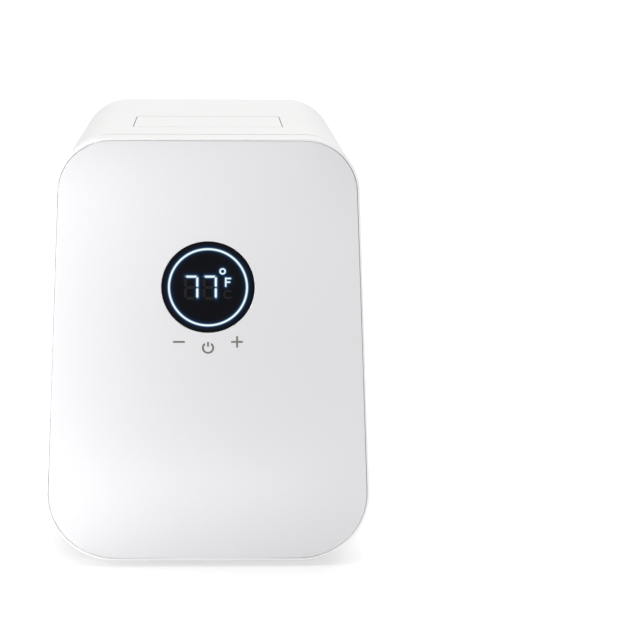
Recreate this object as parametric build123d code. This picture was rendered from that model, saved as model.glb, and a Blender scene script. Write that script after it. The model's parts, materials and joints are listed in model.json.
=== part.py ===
from build123d import *
import os
from math import asin, cos, degrees, radians, sin, sqrt, tan

# A counter-top thermoelectric cabinet that holds a jar of starter or dough at a set temperature.
# X runs across, -Y is the front, Z is up, and the worktop is Z = 0. All sizes are millimetres.

# Outline of the body, seen from the front
width = 188.9  # at the widest point, just above the bottom corners
height = 253.0  # worktop to top face
foot_height = 4.0
side_lean = radians(3.1)  # each side leans in towards the top
top_radius = 31.0
bottom_radius = 40.5

# Depths from front to back
panel_crown = 2.3  # middle of the front panel, ahead of the door's lip
door_depth = 18.0
door_gap = 1.2
shell_depth = 201.0
housing_depth = 12.0  # fan housing behind the shell

# Cabinet shell
shell_wall = 2.5
shell_back_radius = 8.0
seam_radius = 0.8  # eased edges on both sides of the door seam
rear_flange = 16.0  # width of the shell's turned-in back edge
bezel_wall = 2.0

# Warm cavity
side_room = 28.0  # from the body's widest point to the cavity
roof_room = 27.0
rear_room = 61.0  # fans, sinks and circuit board behind the cavity
cavity_floor = 26.0
cavity_radius = 12.0
cavity_back_radius = 6.0
liner_wall = 1.8

# Door
lip_width = 1.3
panel_clearance = 0.3
panel_seat = 2.2  # ledge that the front panel sits on, behind the lip
rim_wall = 5.0
crown_side_drop = 1.58  # the panel falls back this much from its middle to its sides
crown_top_drop = 1.54
liner_recess = 3.0
plug_depth = 4.0  # how far the door liner reaches into the cavity
plug_clearance = 4.0
gasket_offset = 2.0
gasket_width = 5.0
gasket_clearance = 0.3
screw_boss_radius = 3.2
screw_boss_setback = 4.0  # bosses start this far behind the front panel
door_screw_span = 175.0  # from the lowest to the highest

# Hinge: its axis follows the leaning side
hinge_inset = 6.0
hinge_ahead = 8.5  # axis ahead of the door's back face
hinge_spacing = 115.0
hinge_eye_radius = 4.5
hinge_eye_half = 6.0
hinge_pin_radius = 1.5
hinge_pin_reach = 7.0
bush_radius = 2.6
hinge_running_fit = 0.08
hinge_notch_clearance = 0.4
hinge_notch_front = 1.4  # notch ahead of the bracket's eye
hinge_relief = 0.6  # corner round about the axis, beyond the door's back face
post_half = 18.0
post_wall = 0.6
bracket_foot_half = 14.0
bracket_foot_wall = 3.0

# Magnetic catch
magnet_clearance = 2.5  # magnet to the gasket
magnet_spacing = 56.0
magnet_width = 6.0
magnet_height = 20.0
strike_wall = 1.0

# Round display and touch symbols
display_drop = 83.9  # its centre below the top face
display_radius = 26.27
display_sink = 0.3  # window below the crown's highest point
display_clearance = 0.1
inlay_depth = 0.4
ring_radius = 22.0
ring_width = 1.5
digit_width = 8.4
digit_height = 14.2
digit_stroke = 1.7
digit_centres = (-9.4, 1.06)
segment_gap = 0.25
unit_x = 11.3
letter_width = 3.8
letter_height = 5.4
letter_stroke = 1.2
lit_letter_z = 3.1  # above the display's centre
unlit_letter_z = -4.0
degree_centre = (8.2, 9.3)
degree_radius = 2.0
degree_hole = 0.85
symbol_stroke = 1.15
symbol_width = 6.7
key_x = 16.5
key_drop = 31.6  # below the display's centre
power_drop = 35.1
power_radius = 3.5
power_stem = 2.8
board_wall = 1.6
display_board_margin = 2.7  # board beyond the window

# Flush carry handle in the top
handle_from_side = 51.0  # from the body's widest point
handle_depth = 54.0
handle_ahead = 54.0  # handle's front edge behind the door's lip
handle_gap = 1.0
handle_wall = 3.0
handle_tail = 9.0  # behind the pivot, pressed to tip the grip up
handle_pivot_drop = 5.0
handle_tail_radius = 9.3
grip_thickness = 7.0
grip_drop = 7.0  # grip's lower edge below the pivot
handle_pin_radius = 2.0
handle_pin_grip = 8.0
handle_boss_web = 7.0  # thick part ahead of the pivot
well_depth = 15.5
tray_wall = 1.6
tray_flange = 4.0

# Fans and thermoelectric stack, all on one axis
fan_rise = 14.0  # above the cavity's middle
inner_fan_size = 60.0
inner_fan_depth = 10.0
outer_fan_size = 80.0
outer_fan_depth = 12.0
fan_corner = 4.0
fan_screw_inset = 5.5  # screws from the frame's edge
fan_plate = 1.5  # hub plate and spokes
fan_spoke_width = 3.0
fan_hub_radius = 12.0
fan_hub_wall = 1.5
fan_shaft_radius = 1.5
fan_coil_radius = 9.0
fan_bore_wall = 0.8
fan_tip_clearance = 0.8
fan_gap = 0.5  # rotor to frame, along the axis
fan_blades = 7
blade_wall = 1.2
blade_pitch = 40.0
cold_fin_depth = 9.0
cold_base = 4.0
cell_size = 40.0
spacer_depth = 8.0
cell_depth = 3.6
hot_sink_margin = 5.0  # beyond the outer fan, all round
hot_base = 5.0
fin_wall = 1.2
fin_pitch = 6.0
fins_to_screw = 4  # fin pitches from the axis to the sinks' screws
bulkhead_wall = 2.4

# Back
cover_wall = 2.5
cover_inset = 10.5
housing_wall = 2.0
housing_clearance = 0.5
grille_slot = 3.0
grille_pitch = 6.0
grille_margin = 4.0
grille_screw_length = 10.0
vent_height = 50.0
vent_width = 24.0
jack_from_side = 42.0  # from the body's widest point
jack_z = 36.0
jack_radius = 5.5
jack_bore = 2.75
jack_pin_radius = 1.05
jack_depth = 10.0
jack_flange = 1.5
jack_length = 12.0
control_board_height = 40.0
control_board_z = 40.0
control_board_from_side = 40.0
control_board_from_jack = 22.0
standoff_length = 12.0
standoff_radius = 3.0
chip_height = 2.5
tall_part_height = 8.0
can_radius = 3.5

# Rack, feet and small pieces
rack_wire = 1.5
rack_side_gap = 13.0
rack_end_gap = 8.0
rack_height = 12.0
rack_wires = 9
foot_radius = 8.0
foot_inset = 48.0  # from the body's widest point
foot_setback = 22.0
foot_chamfer = 0.8
sensor_radius = 2.5
sensor_length = 12.0
sensor_flange_radius = 5.0
sensor_flange = 1.5
sensor_from_side = 18.0
sensor_from_top = 26.0
cover_screw_spacing = 140.0
fit = 0.2  # between pieces that sit in one another
screw_radius = 1.4
screw_head_radius = 2.4
screw_head = 1.6
screw_length = 8.0

# Sizes and places that follow from the others
middle_z = (foot_height + height) / 2
cavity_width = width - 2 * side_room
cavity_height = height - roof_room - cavity_floor
cavity_depth = shell_depth - rear_room
crown_radius_x = ((width / 2) ** 2 + crown_side_drop**2) / (2 * crown_side_drop)
crown_radius_z = ((height / 2) ** 2 + crown_top_drop**2) / (2 * crown_top_drop)
door_screw_heights = (middle_z - door_screw_span / 2, middle_z, middle_z + door_screw_span / 2)
hinge_heights = (middle_z - hinge_spacing / 2, middle_z + hinge_spacing / 2)
hinge_relief_radius = hinge_ahead + hinge_relief
post_inner = hinge_eye_radius + hinge_notch_clearance + post_wall
gasket_outer_x = cavity_width / 2 + gasket_offset + gasket_width
magnet_x = -gasket_outer_x - magnet_clearance - magnet_width / 2
magnet_heights = (middle_z - magnet_spacing / 2, middle_z + magnet_spacing / 2)
display_z = height - display_drop
key_z = display_z - key_drop
power_z = display_z - power_drop
display_board_radius = display_radius + display_board_margin
handle_width = width - 2 * handle_from_side
fan_z = cavity_floor + cavity_height / 2 + fan_rise
hot_sink_size = outer_fan_size + 2 * hot_sink_margin
jack_x = width / 2 - jack_from_side
board_left = control_board_from_side - width / 2
board_right = jack_x - control_board_from_jack
control_board_width = board_right - board_left
control_board_x = (board_left + board_right) / 2
rack_width = cavity_width - 2 * rack_side_gap
rack_depth = cavity_depth - bezel_wall - 2 * rack_end_gap
foot_x = width / 2 - foot_inset
cover_screw_heights = (middle_z - cover_screw_spacing / 2, middle_z + cover_screw_spacing / 2)

# Stations along Y, worked out from the depths
total_depth = panel_crown + door_depth + door_gap + shell_depth + housing_depth + screw_head
lip_y = panel_crown - total_depth / 2
panel_back_y = lip_y + panel_seat
door_back_y = lip_y + door_depth
seam_y = door_back_y + door_gap
bezel_back_y = seam_y + bezel_wall
shell_back_y = seam_y + shell_depth
rear_y = shell_back_y + housing_depth
door_liner_y = door_back_y - liner_recess
plug_y = seam_y + plug_depth
cavity_back_y = seam_y + cavity_depth
liner_back_y = cavity_back_y + liner_wall
cold_fins_y = liner_back_y + inner_fan_depth
cold_base_y = cold_fins_y + cold_fin_depth
spacer_y = cold_base_y + cold_base
cell_y = spacer_y + spacer_depth
hot_base_y = cell_y + cell_depth
bulkhead_y = hot_base_y - bulkhead_wall
outer_fan_back_y = rear_y - cover_wall
outer_fan_y = outer_fan_back_y - outer_fan_depth
hinge_y = door_back_y - hinge_ahead
handle_front_y = lip_y + handle_ahead
pivot_y = handle_front_y + handle_depth - handle_tail
pivot_z = height - handle_pivot_drop
control_board_y = shell_back_y - standoff_length - board_wall
window_y = lip_y - panel_crown + display_sink


# Shapes that several pieces share


def half_width(z, inset=0.0):
    """Half width between the leaning sides at a height, for an outline set in from the body's."""
    at_corner = width / 2 + bottom_radius * (1 / cos(side_lean) - 1)
    return at_corner - (z - foot_height - bottom_radius) * tan(side_lean) - inset / cos(side_lean)


def body_outline(inset=0.0):
    """The body's front outline, set in by the same distance all round."""
    low = foot_height + inset
    high = height - inset
    corners = (
        (-half_width(low, inset), low),
        (half_width(low, inset), low),
        (half_width(high, inset), high),
        (-half_width(high, inset), high),
    )
    outline = Polygon(*corners, align=None)
    outline = fillet(outline.vertices().sort_by(Axis.Y)[-2:], top_radius - inset)
    return fillet(outline.vertices().sort_by(Axis.Y)[:2], bottom_radius - inset)


def slab(sketch, y_front, y_back):
    """A sketch drawn in X and Z, made solid between two stations along Y."""
    return extrude(Plane.XZ.offset(-y_front) * sketch, amount=y_back - y_front, dir=(0, 1, 0))


def block(x_range, y_range, z_range):
    """A box between three pairs of limits."""
    ranges = (x_range, y_range, z_range)
    centre = [(low + high) / 2 for low, high in ranges]
    return Pos(*centre) * Box(*[high - low for low, high in ranges])


def rod(radius, x, z, y_front, y_back):
    """A round bar along Y."""
    return slab(Pos(x, z) * Circle(radius), y_front, y_back)


def cavity_outline(offset=0.0):
    """The cavity's mouth, or the same shape larger by an offset."""
    mouth = RectangleRounded(
        cavity_width + 2 * offset, cavity_height + 2 * offset, cavity_radius + offset
    )
    return Pos(0, cavity_floor + cavity_height / 2) * mouth


def cavity_space(offset, y_front):
    """The cavity's room, or the room that its liner takes, with a rounded back edge."""
    room = slab(cavity_outline(offset), y_front, cavity_back_y + offset)
    back_edges = room.faces().sort_by(Axis.Y)[-1].edges()
    return fillet(back_edges, cavity_back_radius + offset)


def crown_space():
    """All the room behind the door's crowned front surface."""
    half = width / 2
    front = lip_y - panel_crown
    side = front + crown_radius_x - sqrt(crown_radius_x**2 - half**2)
    arc = ThreePointArc((-half, side), (0, front), (half, side))
    back = Polyline((half, side), (half, door_back_y), (-half, door_back_y), (-half, side))
    profile = Pos(0, 0, middle_z) * make_face(arc.edges() + back.edges())
    axis = Axis((0, front + crown_radius_z, middle_z), (1, 0, 0))
    sweep = 2 * degrees(asin(height / 2 / crown_radius_z))
    return revolve(profile, axis, revolution_arc=sweep).rotate(axis, -sweep / 2)


def hinge_plane(z):
    """Frame on the hinge axis: X out to the side, Y to the back, Z up along the axis."""
    x = half_width(z) - hinge_inset / cos(side_lean)
    across = (cos(side_lean), 0, sin(side_lean))
    return Plane(origin=(x, hinge_y, z), x_dir=across, z_dir=(-sin(side_lean), 0, cos(side_lean)))


def at_hinges(make):
    """One copy of a piece at each hinge, with the piece drawn in the hinge's own frame."""
    return [hinge_plane(z) * make() for z in hinge_heights]


def screw(x, z, y_head, length, towards_back=True):
    """A pan-head screw along Y, its head's seat at y_head."""
    way = 1 if towards_back else -1
    shank = sorted((y_head, y_head + way * length))
    head = sorted((y_head, y_head - way * screw_head))
    return rod(screw_radius, x, z, *shank) + rod(screw_head_radius, x, z, *head)


# Door


def door_screw_places():
    """Places of the liner's screws, just inside the rim on both sides."""
    inset = rim_wall + screw_head_radius + fit
    return [(side * half_width(z, inset), z) for side in (-1, 1) for z in door_screw_heights]


def door_screws():
    """Screws that hold the door liner to the frame."""
    return [screw(x, z, door_liner_y, screw_length, towards_back=False) for x, z in door_screw_places()]


def screw_bosses():
    """Posts inside the door frame that take the liner's screws."""
    front = panel_back_y + screw_boss_setback
    back = door_liner_y - liner_wall
    return [rod(screw_boss_radius, x, z, front, back) for x, z in door_screw_places()]


def hinge_post(clearance=0.0):
    """The solid part of the door frame around a hinge, in the hinge's frame."""
    return block(
        (-post_inner - clearance, 2 * hinge_inset),
        (panel_back_y - hinge_y, hinge_ahead),
        (-post_half - clearance, post_half + clearance),
    )


def hinge_notch():
    """Room for the bracket's eye and arm as the door swings."""
    inner = -hinge_eye_radius - hinge_notch_clearance
    half = hinge_eye_half + hinge_notch_clearance
    front = -hinge_eye_radius - hinge_notch_front
    return block((inner, 3 * hinge_inset), (front, 2 * hinge_ahead), (-half, half))


def hinge_bushes():
    """Plain bushes above and below each bracket eye, which turn on the pin."""
    start = hinge_eye_half + hinge_notch_clearance
    ring = Circle(bush_radius) - Circle(hinge_pin_radius + hinge_running_fit)
    upper = extrude(Plane.XY.offset(start) * ring, amount=hinge_pin_reach)
    lower = extrude(Plane.XY.offset(-start) * ring, amount=-hinge_pin_reach)
    return [piece for plane in map(hinge_plane, hinge_heights) for piece in (plane * upper, plane * lower)]


def hinge_bores():
    """Bores for the bushes, in the door frame."""
    reach = hinge_eye_half + hinge_notch_clearance + hinge_pin_reach
    return at_hinges(lambda: Cylinder(bush_radius, 2 * reach))


def door_frame():
    """White rim of the door, with hinge posts, screw bosses and a ledge for the panel."""
    frame = slab(body_outline(), lip_y, door_back_y)
    frame = fillet(frame.faces().sort_by(Axis.Y)[-1].edges(), seam_radius)
    frame = fillet(frame.faces().sort_by(Axis.Y)[0].edges(), lip_width / 2)
    frame -= slab(body_outline(lip_width), lip_y, panel_back_y)
    frame -= slab(body_outline(rim_wall), panel_back_y, door_back_y)
    solid = slab(body_outline(seam_radius), panel_back_y, door_back_y)
    for post in at_hinges(hinge_post):
        frame += post & solid
    for boss in screw_bosses():
        frame += boss
    beyond = (0, 2 * hinge_relief_radius)
    relief = block(beyond, beyond, (-height, height)) - Cylinder(hinge_relief_radius, 2 * height)
    frame -= hinge_plane(height / 2) * relief
    for cut in at_hinges(hinge_notch) + hinge_bores() + door_screws():
        frame -= cut
    return frame


def front_panel():
    """Glossy crowned panel that fills the lip."""
    front = lip_y - 2 * panel_crown
    panel = slab(body_outline(lip_width + panel_clearance), front, panel_back_y) & crown_space()
    panel -= rod(display_radius + display_clearance, 0, display_z, front, panel_back_y)
    for symbol in [minus_symbol(), plus_symbol()] + power_symbol():
        panel -= symbol
    return panel


def door_insulation():
    """Foam between the panel and the door liner, filling the liner's plug."""
    front = panel_back_y + board_wall + fit
    foam = slab(body_outline(rim_wall + fit), front, door_liner_y - liner_wall)
    plug = cavity_outline(-plug_clearance - liner_wall - fit)
    foam += slab(plug, door_liner_y - liner_wall, plug_y - liner_wall - fit)
    for post in at_hinges(lambda: hinge_post(fit)):
        foam -= post
    for boss in screw_bosses():
        foam -= boss
    return foam


def door_liner():
    """Inner skin of the door, with a shallow plug that enters the cavity."""
    liner = slab(body_outline(rim_wall + fit), door_liner_y - liner_wall, door_liner_y)
    liner += slab(cavity_outline(-plug_clearance), door_liner_y, plug_y)
    inside = cavity_outline(-plug_clearance - liner_wall)
    liner -= slab(inside, door_liner_y - liner_wall, plug_y - liner_wall)
    for post in at_hinges(lambda: hinge_post(fit)):
        liner -= post
    for fastener in door_screws():
        liner -= fastener
    return liner


def door_gasket():
    """Soft ring that meets the cabinet's bezel."""
    ring = cavity_outline(gasket_offset + gasket_width) - cavity_outline(gasket_offset)
    return slab(ring, door_liner_y, seam_y - gasket_clearance)


def door_magnet(z):
    """Magnet on the door liner, at the side away from the hinge."""
    x_range = (magnet_x - magnet_width / 2, magnet_x + magnet_width / 2)
    z_range = (z - magnet_height / 2, z + magnet_height / 2)
    return block(x_range, (door_liner_y, door_back_y - fit), z_range)


# Display and touch symbols


def bar(length, upright=False):
    """One pointed segment of a digit."""
    half = length / 2 - segment_gap
    point = digit_stroke / 2
    shape = Polygon(
        (-half, 0), (point - half, point), (half - point, point),
        (half, 0), (half - point, -point), (point - half, -point), align=None,
    )
    return Rot(0, 0, 90) * shape if upright else shape


def digit(names, x):
    """The named segments of a seven-segment digit, centred on x."""
    across = digit_width - digit_stroke
    up = (digit_height - digit_stroke) / 2
    places = {
        "a": (0, up), "b": (across / 2, up / 2), "c": (across / 2, -up / 2), "d": (0, -up),
        "e": (-across / 2, -up / 2), "f": (-across / 2, up / 2), "g": (0, 0),
    }
    bars = []
    for name in names:
        upright = name in "bcef"
        left, rise = places[name]
        bars.append(Pos(x + left, display_z + rise) * bar(up if upright else across, upright))
    return bars


def letter_f():
    """Lit letter beside the digits."""
    stem = Pos((letter_stroke - letter_width) / 2, 0) * Rectangle(letter_stroke, letter_height)
    top = Pos(0, (letter_height - letter_stroke) / 2) * Rectangle(letter_width, letter_stroke)
    middle = Pos(-letter_stroke / 4, 0) * Rectangle(letter_width - letter_stroke / 2, letter_stroke)
    return Pos(unit_x, display_z + lit_letter_z) * (stem + top + middle)


def letter_c():
    """Unlit letter below it."""
    radius = letter_height / 2
    ring = Circle(radius) - Circle(radius - letter_stroke) - Pos(radius, 0) * Rectangle(radius, radius)
    return Pos(unit_x, display_z + unlit_letter_z) * ring


def inlay(sketch):
    """A flat inlay in the face of the display window."""
    return slab(sketch, window_y, window_y + inlay_depth)


def lit_segments():
    """Lit parts of the display: two sevens, a degree ring and a letter."""
    shapes = [piece for x in digit_centres for piece in digit("abc", x)]
    degree = Circle(degree_radius) - Circle(degree_hole)
    shapes.append(Pos(degree_centre[0], display_z + degree_centre[1]) * degree)
    shapes.append(letter_f())
    return [inlay(shape) for shape in shapes]


def unlit_segments():
    """Parts of the display that are off."""
    shapes = [piece for x in digit_centres for piece in digit("defg", x)]
    shapes.append(letter_c())
    return [inlay(shape) for shape in shapes]


def light_ring():
    """Lit ring round the digits."""
    outer = ring_radius + ring_width / 2
    return inlay(Pos(0, display_z) * (Circle(outer) - Circle(outer - ring_width)))


def display_window():
    """Dark round window, nearly flush with the panel."""
    window = rod(display_radius, 0, display_z, window_y, panel_back_y)
    for piece in [light_ring()] + lit_segments() + unlit_segments():
        window -= piece
    return window


def printed_symbol(sketch):
    """A touch symbol let into the panel's crowned face."""
    front = lip_y - panel_crown
    return slab(sketch, front - inlay_depth, front + 2 * inlay_depth) & crown_space()


def minus_symbol():
    return printed_symbol(Pos(-key_x, key_z) * Rectangle(symbol_width, symbol_stroke))


def plus_symbol():
    cross = Rectangle(symbol_width, symbol_stroke) + Rectangle(symbol_stroke, symbol_width)
    return printed_symbol(Pos(key_x, key_z) * cross)


def power_symbol():
    """A ring, open at the top, and the stem in its gap."""
    ring = Circle(power_radius) - Circle(power_radius - symbol_stroke)
    ring -= Pos(0, power_radius) * Rectangle(3 * symbol_stroke, 2 * power_radius)
    stem = Pos(0, power_radius - power_stem / 2) * Rectangle(symbol_stroke, power_stem)
    return [printed_symbol(Pos(0, power_z) * shape) for shape in (ring, stem)]


def display_board():
    """Circuit board behind the window and the touch symbols."""
    top = Pos(0, display_z) * Circle(display_board_radius)
    touch_height = display_z - power_z + 3 * power_radius
    touch = Pos(0, display_z - touch_height / 2) * Rectangle(2 * display_board_radius, touch_height)
    return slab(top + touch, panel_back_y, panel_back_y + board_wall)


# Cabinet


def handle_opening():
    """Corners of the opening in the top, as limits in X and Y."""
    half = handle_width / 2 + handle_gap
    front = handle_front_y - handle_gap
    return (-half, half), (front, handle_front_y + handle_depth + handle_gap)


def grown(limits, amount):
    return (limits[0] - amount, limits[1] + amount)


def cabinet_shell():
    """One-piece outer shell, open at the front, with a turned-in back edge."""
    outer = slab(body_outline(), seam_y, shell_back_y)
    outer = fillet(outer.faces().sort_by(Axis.Y)[-1].edges(), shell_back_radius)
    outer = fillet(outer.faces().sort_by(Axis.Y)[0].edges(), seam_radius)
    inner = slab(body_outline(shell_wall), seam_y, shell_back_y - shell_wall)
    inner = fillet(inner.faces().sort_by(Axis.Y)[-1].edges(), shell_back_radius - shell_wall)
    shell = outer - inner - slab(body_outline(rear_flange), seam_y, shell_back_y)
    x_range, y_range = handle_opening()
    shell -= block(x_range, y_range, (height - 2 * shell_wall, height))
    for fastener in cover_screws():
        shell -= fastener
    return shell


def front_bezel():
    """Ring that joins the shell's front edge to the cavity's mouth."""
    bezel = slab(body_outline(shell_wall) - cavity_outline(), seam_y, bezel_back_y)
    for cut in at_hinges(hinge_bracket) + bracket_screws():
        bezel -= cut
    for z in magnet_heights:
        bezel -= strike_plate(z)
    return bezel


def inner_liner():
    """Tub that forms the cavity."""
    tub = cavity_space(liner_wall, bezel_back_y) - cavity_space(0.0, seam_y)
    tub -= rod(inner_fan_size / 2 - grille_margin, 0, fan_z, cavity_back_y, liner_back_y)
    for fastener in inner_fan_screws():
        tub -= fastener
    return tub


def handle_tray():
    """Recessed tray under the handle."""
    x_range, y_range = handle_opening()
    top = height - shell_wall
    floor = height - well_depth
    tray = block(grown(x_range, tray_wall), grown(y_range, tray_wall), (floor - tray_wall, top))
    flange = block(grown(x_range, tray_flange), grown(y_range, tray_flange), (top - tray_wall, top))
    tray = tray + flange - block(x_range, y_range, (floor, top))
    for pin in handle_pins():
        tray -= pin
    return tray


def handle_pins():
    """Pins fixed in the tray's sides, on which the handle turns."""
    inner = handle_width / 2 - handle_pin_grip
    outer = handle_width / 2 + handle_gap + tray_wall + handle_gap
    pin = Cylinder(handle_pin_radius, outer - inner, rotation=(0, 90, 0))
    return [Pos(side * (inner + outer) / 2, pivot_y, pivot_z) * pin for side in (-1, 1)]


def surround_insulation():
    """Foam between the shell and the cavity's liner."""
    foam = slab(body_outline(shell_wall + fit), bezel_back_y, liner_back_y)
    foam -= cavity_space(liner_wall + fit, bezel_back_y)
    x_range, y_range = handle_opening()
    well = (height - well_depth - tray_wall - fit, height)
    foam -= block(grown(x_range, tray_flange + fit), grown(y_range, tray_flange + fit), well)
    for pocket in at_hinges(bracket_pocket):
        foam -= pocket
    return foam


def rear_insulation():
    """Foam around the cold side, between the liner and the bulkhead."""
    foam = slab(body_outline(shell_wall + fit), liner_back_y, bulkhead_y)
    foam -= square_block(inner_fan_size + 2 * fit, liner_back_y, spacer_y + fit)
    foam -= square_block(cell_size + 2 * fit, spacer_y, bulkhead_y)
    for fastener in sink_screws():
        foam -= fastener
    return foam


def bulkhead():
    """Plate that parts the insulated side from the machine space."""
    plate = slab(body_outline(shell_wall + fit), bulkhead_y, hot_base_y)
    plate -= square_block(cell_size + 2 * fit, bulkhead_y, hot_base_y)
    for fastener in sink_screws():
        plate -= fastener
    return plate


def foot(x, y):
    """Rubber foot with an eased lower edge."""
    pad = Pos(x, y, foot_height / 2) * Cylinder(foot_radius, foot_height)
    return chamfer(pad.faces().sort_by(Axis.Z)[0].edges(), foot_chamfer)


def feet():
    """The four feet, by name."""
    rows = {"front": seam_y + foot_setback, "back": shell_back_y - foot_setback}
    sides = {"left": -foot_x, "right": foot_x}
    return {f"foot_{row}_{side}": foot(x, y) for row, y in rows.items() for side, x in sides.items()}


# Hinges and catch, on the cabinet


def hinge_bracket():
    """Eye, arm and foot of a bracket, in the hinge's frame."""
    back = bezel_back_y - hinge_y
    side = hinge_inset - shell_wall - fit
    bracket = Cylinder(hinge_eye_radius, 2 * hinge_eye_half)
    bracket += block((-side, side), (0, back + bracket_foot_wall), (-hinge_eye_half, hinge_eye_half))
    foot_limits = (back, back + bracket_foot_wall)
    bracket += block((-2 * side, side), foot_limits, (-bracket_foot_half, bracket_foot_half))
    bracket -= Cylinder(hinge_pin_radius, 4 * hinge_eye_half)
    for offset in (-1, 1):
        bracket -= bracket_screw(offset)
    return bracket


def bracket_pocket():
    """Room in the foam for a bracket's foot and its screws, in the hinge's frame."""
    back = bezel_back_y - hinge_y
    side = hinge_inset - shell_wall
    deep = (back, back + 2 * bracket_foot_wall + fit)
    return block((-2 * side, side), deep, (-bracket_foot_half - fit, bracket_foot_half + fit))


def hinge_pin():
    """Steel pin through a bracket's eye, in the hinge's frame."""
    return Cylinder(hinge_pin_radius, 2 * (hinge_eye_half + hinge_notch_clearance + hinge_pin_reach))


def bracket_screw(offset):
    """Countersunk screw through the bezel into a bracket's foot, in the hinge's frame."""
    seam = seam_y - hinge_y
    z = offset * (hinge_eye_half + bracket_foot_half) / 2
    length = bezel_wall + 2 * bracket_foot_wall
    shank = Pos(0, seam + length / 2, z) * Cylinder(screw_radius, length, rotation=(90, 0, 0))
    head = Cone(screw_head_radius, screw_radius, screw_head_radius - screw_radius, rotation=(-90, 0, 0))
    return shank + Pos(0, seam + (screw_head_radius - screw_radius) / 2, z) * head


def bracket_screws():
    """Two screws for each hinge bracket."""
    planes = [hinge_plane(z) for z in hinge_heights]
    return [plane * bracket_screw(offset) for plane in planes for offset in (-1, 1)]


def strike_plate(z):
    """Steel plate flush in the bezel, opposite a door magnet."""
    x_range = (magnet_x - magnet_width / 2, magnet_x + magnet_width / 2)
    z_range = (z - magnet_height / 2, z + magnet_height / 2)
    return block(x_range, (seam_y, seam_y + strike_wall), z_range)


# Carry handle


def carry_handle():
    """Flush plate that turns up about pins near its back edge, with a grip along its front."""
    top = handle_pivot_drop
    front = handle_tail - handle_depth
    grip_middle = front + grip_thickness / 2
    plate = Pos(front / 2, top - handle_wall / 2) * Rectangle(-front, handle_wall)
    upper_grip = Pos(grip_middle, top / 2) * Rectangle(grip_thickness, top)
    grip_height = top + grip_drop
    grip = SlotOverall(grip_height, grip_thickness, rotation=90)
    lower_grip = Pos(grip_middle, top - grip_height / 2) * grip
    web = Pos(-handle_boss_web / 2, top / 2) * Rectangle(handle_boss_web, top)
    tail = Circle(handle_tail_radius) & Pos(handle_tail / 2, top / 2) * Rectangle(handle_tail, top)
    profile = plate + upper_grip + lower_grip + web + tail + Circle(handle_pivot_drop)
    side_view = Plane(origin=(-handle_width / 2, pivot_y, pivot_z), x_dir=(0, 1, 0), z_dir=(1, 0, 0))
    handle = extrude(side_view * profile, amount=handle_width)
    bore_length = handle_pin_grip + handle_gap
    bore = Cylinder(handle_pin_radius + hinge_running_fit, bore_length, rotation=(0, 90, 0))
    for side in (-1, 1):
        handle -= Pos(side * (handle_width - bore_length) / 2, pivot_y, pivot_z) * bore
    return handle


# Fans and thermoelectric stack


def square_block(size, y_front, y_back):
    """Block with a square face, on the fans' axis."""
    half = size / 2
    return block((-half, half), (y_front, y_back), (fan_z - half, fan_z + half))


def rounded_square(size, radius):
    """Rounded square on the fans' axis."""
    return Pos(0, fan_z) * RectangleRounded(size, size, radius)


def screw_square(size):
    """Corner screw places of a fan, round the common axis."""
    half = size / 2 - fan_screw_inset
    return [(i * half, fan_z + j * half) for i in (-1, 1) for j in (-1, 1)]


def fan_frame(size, depth, y_front, screws):
    """Square frame, with a bore, three spokes and a hub plate at its back."""
    bore = size / 2 - fan_bore_wall
    y_back = y_front + depth
    y_plate = y_back - fan_plate
    frame = slab(rounded_square(size, fan_corner) - Pos(0, fan_z) * Circle(bore), y_front, y_back)
    frame += rod(fan_hub_radius, 0, fan_z, y_plate, y_back)
    for turn in (90, 210, 330):
        spoke = Rot(0, 0, turn) * Pos(bore / 2, 0) * Rectangle(bore, fan_spoke_width)
        frame += slab(Pos(0, fan_z) * spoke, y_plate, y_back)
    frame -= rod(fan_shaft_radius + hinge_running_fit, 0, fan_z, y_plate, y_back)
    for piece in screws:
        frame -= piece
    return frame


def fan_stator(depth, y_front):
    """Coil block on the frame's hub plate, with the shaft's bearing in it."""
    y_plate = y_front + depth - fan_plate
    y_coil = y_front + 2 * fan_gap + fan_hub_wall + fan_gap
    ring = Circle(fan_coil_radius) - Circle(fan_shaft_radius + hinge_running_fit)
    return slab(Pos(0, fan_z) * ring, y_coil, y_plate)


def fan_rotor(size, depth, y_front):
    """Hub cup with its shaft and pitched blades."""
    y_cup = y_front + fan_gap
    y_back = y_front + depth - fan_plate - fan_gap
    tip = size / 2 - fan_bore_wall - fan_tip_clearance
    rotor = rod(fan_hub_radius, 0, fan_z, y_cup, y_back)
    rotor -= rod(fan_hub_radius - fan_hub_wall, 0, fan_z, y_cup + fan_hub_wall, y_back)
    rotor += rod(fan_shaft_radius, 0, fan_z, y_cup, y_back)
    swept = Circle(tip) - Circle(fan_hub_radius - fan_hub_wall / 2)
    room = slab(Pos(0, fan_z) * swept, y_cup, y_back)
    blade = Pos(tip / 2, 0, 0) * Rot(blade_pitch, 0, 0) * Box(tip, blade_wall, size)
    for index in range(fan_blades):
        turn = Rot(0, index * 360 / fan_blades, 0)
        rotor += Pos(0, (y_cup + y_back) / 2, fan_z) * turn * blade & room
    return rotor


def inner_fan_screws():
    """Screws through the grille and the liner into the inner fan's frame."""
    seat = cavity_back_y - cover_wall
    return [screw(x, z, seat, grille_screw_length) for x, z in screw_square(inner_fan_size)]


def outer_fan_screws():
    """Screws through the housing into the outer fan's frame."""
    places = screw_square(outer_fan_size)
    return [screw(x, z, rear_y, screw_length, towards_back=False) for x, z in places]


def upright_slot(x, z, length, y_front, y_back):
    return slab(Pos(x, z) * SlotOverall(length, grille_slot, rotation=90), y_front, y_back)


def fan_slots(radius, y_front, y_back):
    """Upright slots over a fan, ended on a circle."""
    count = round(2 * radius / grille_pitch)
    places = [(i - (count - 1) / 2) * grille_pitch for i in range(count)]
    return [
        upright_slot(x, fan_z, 2 * sqrt(radius**2 - x**2) - grille_slot, y_front, y_back)
        for x in places
    ]


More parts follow.
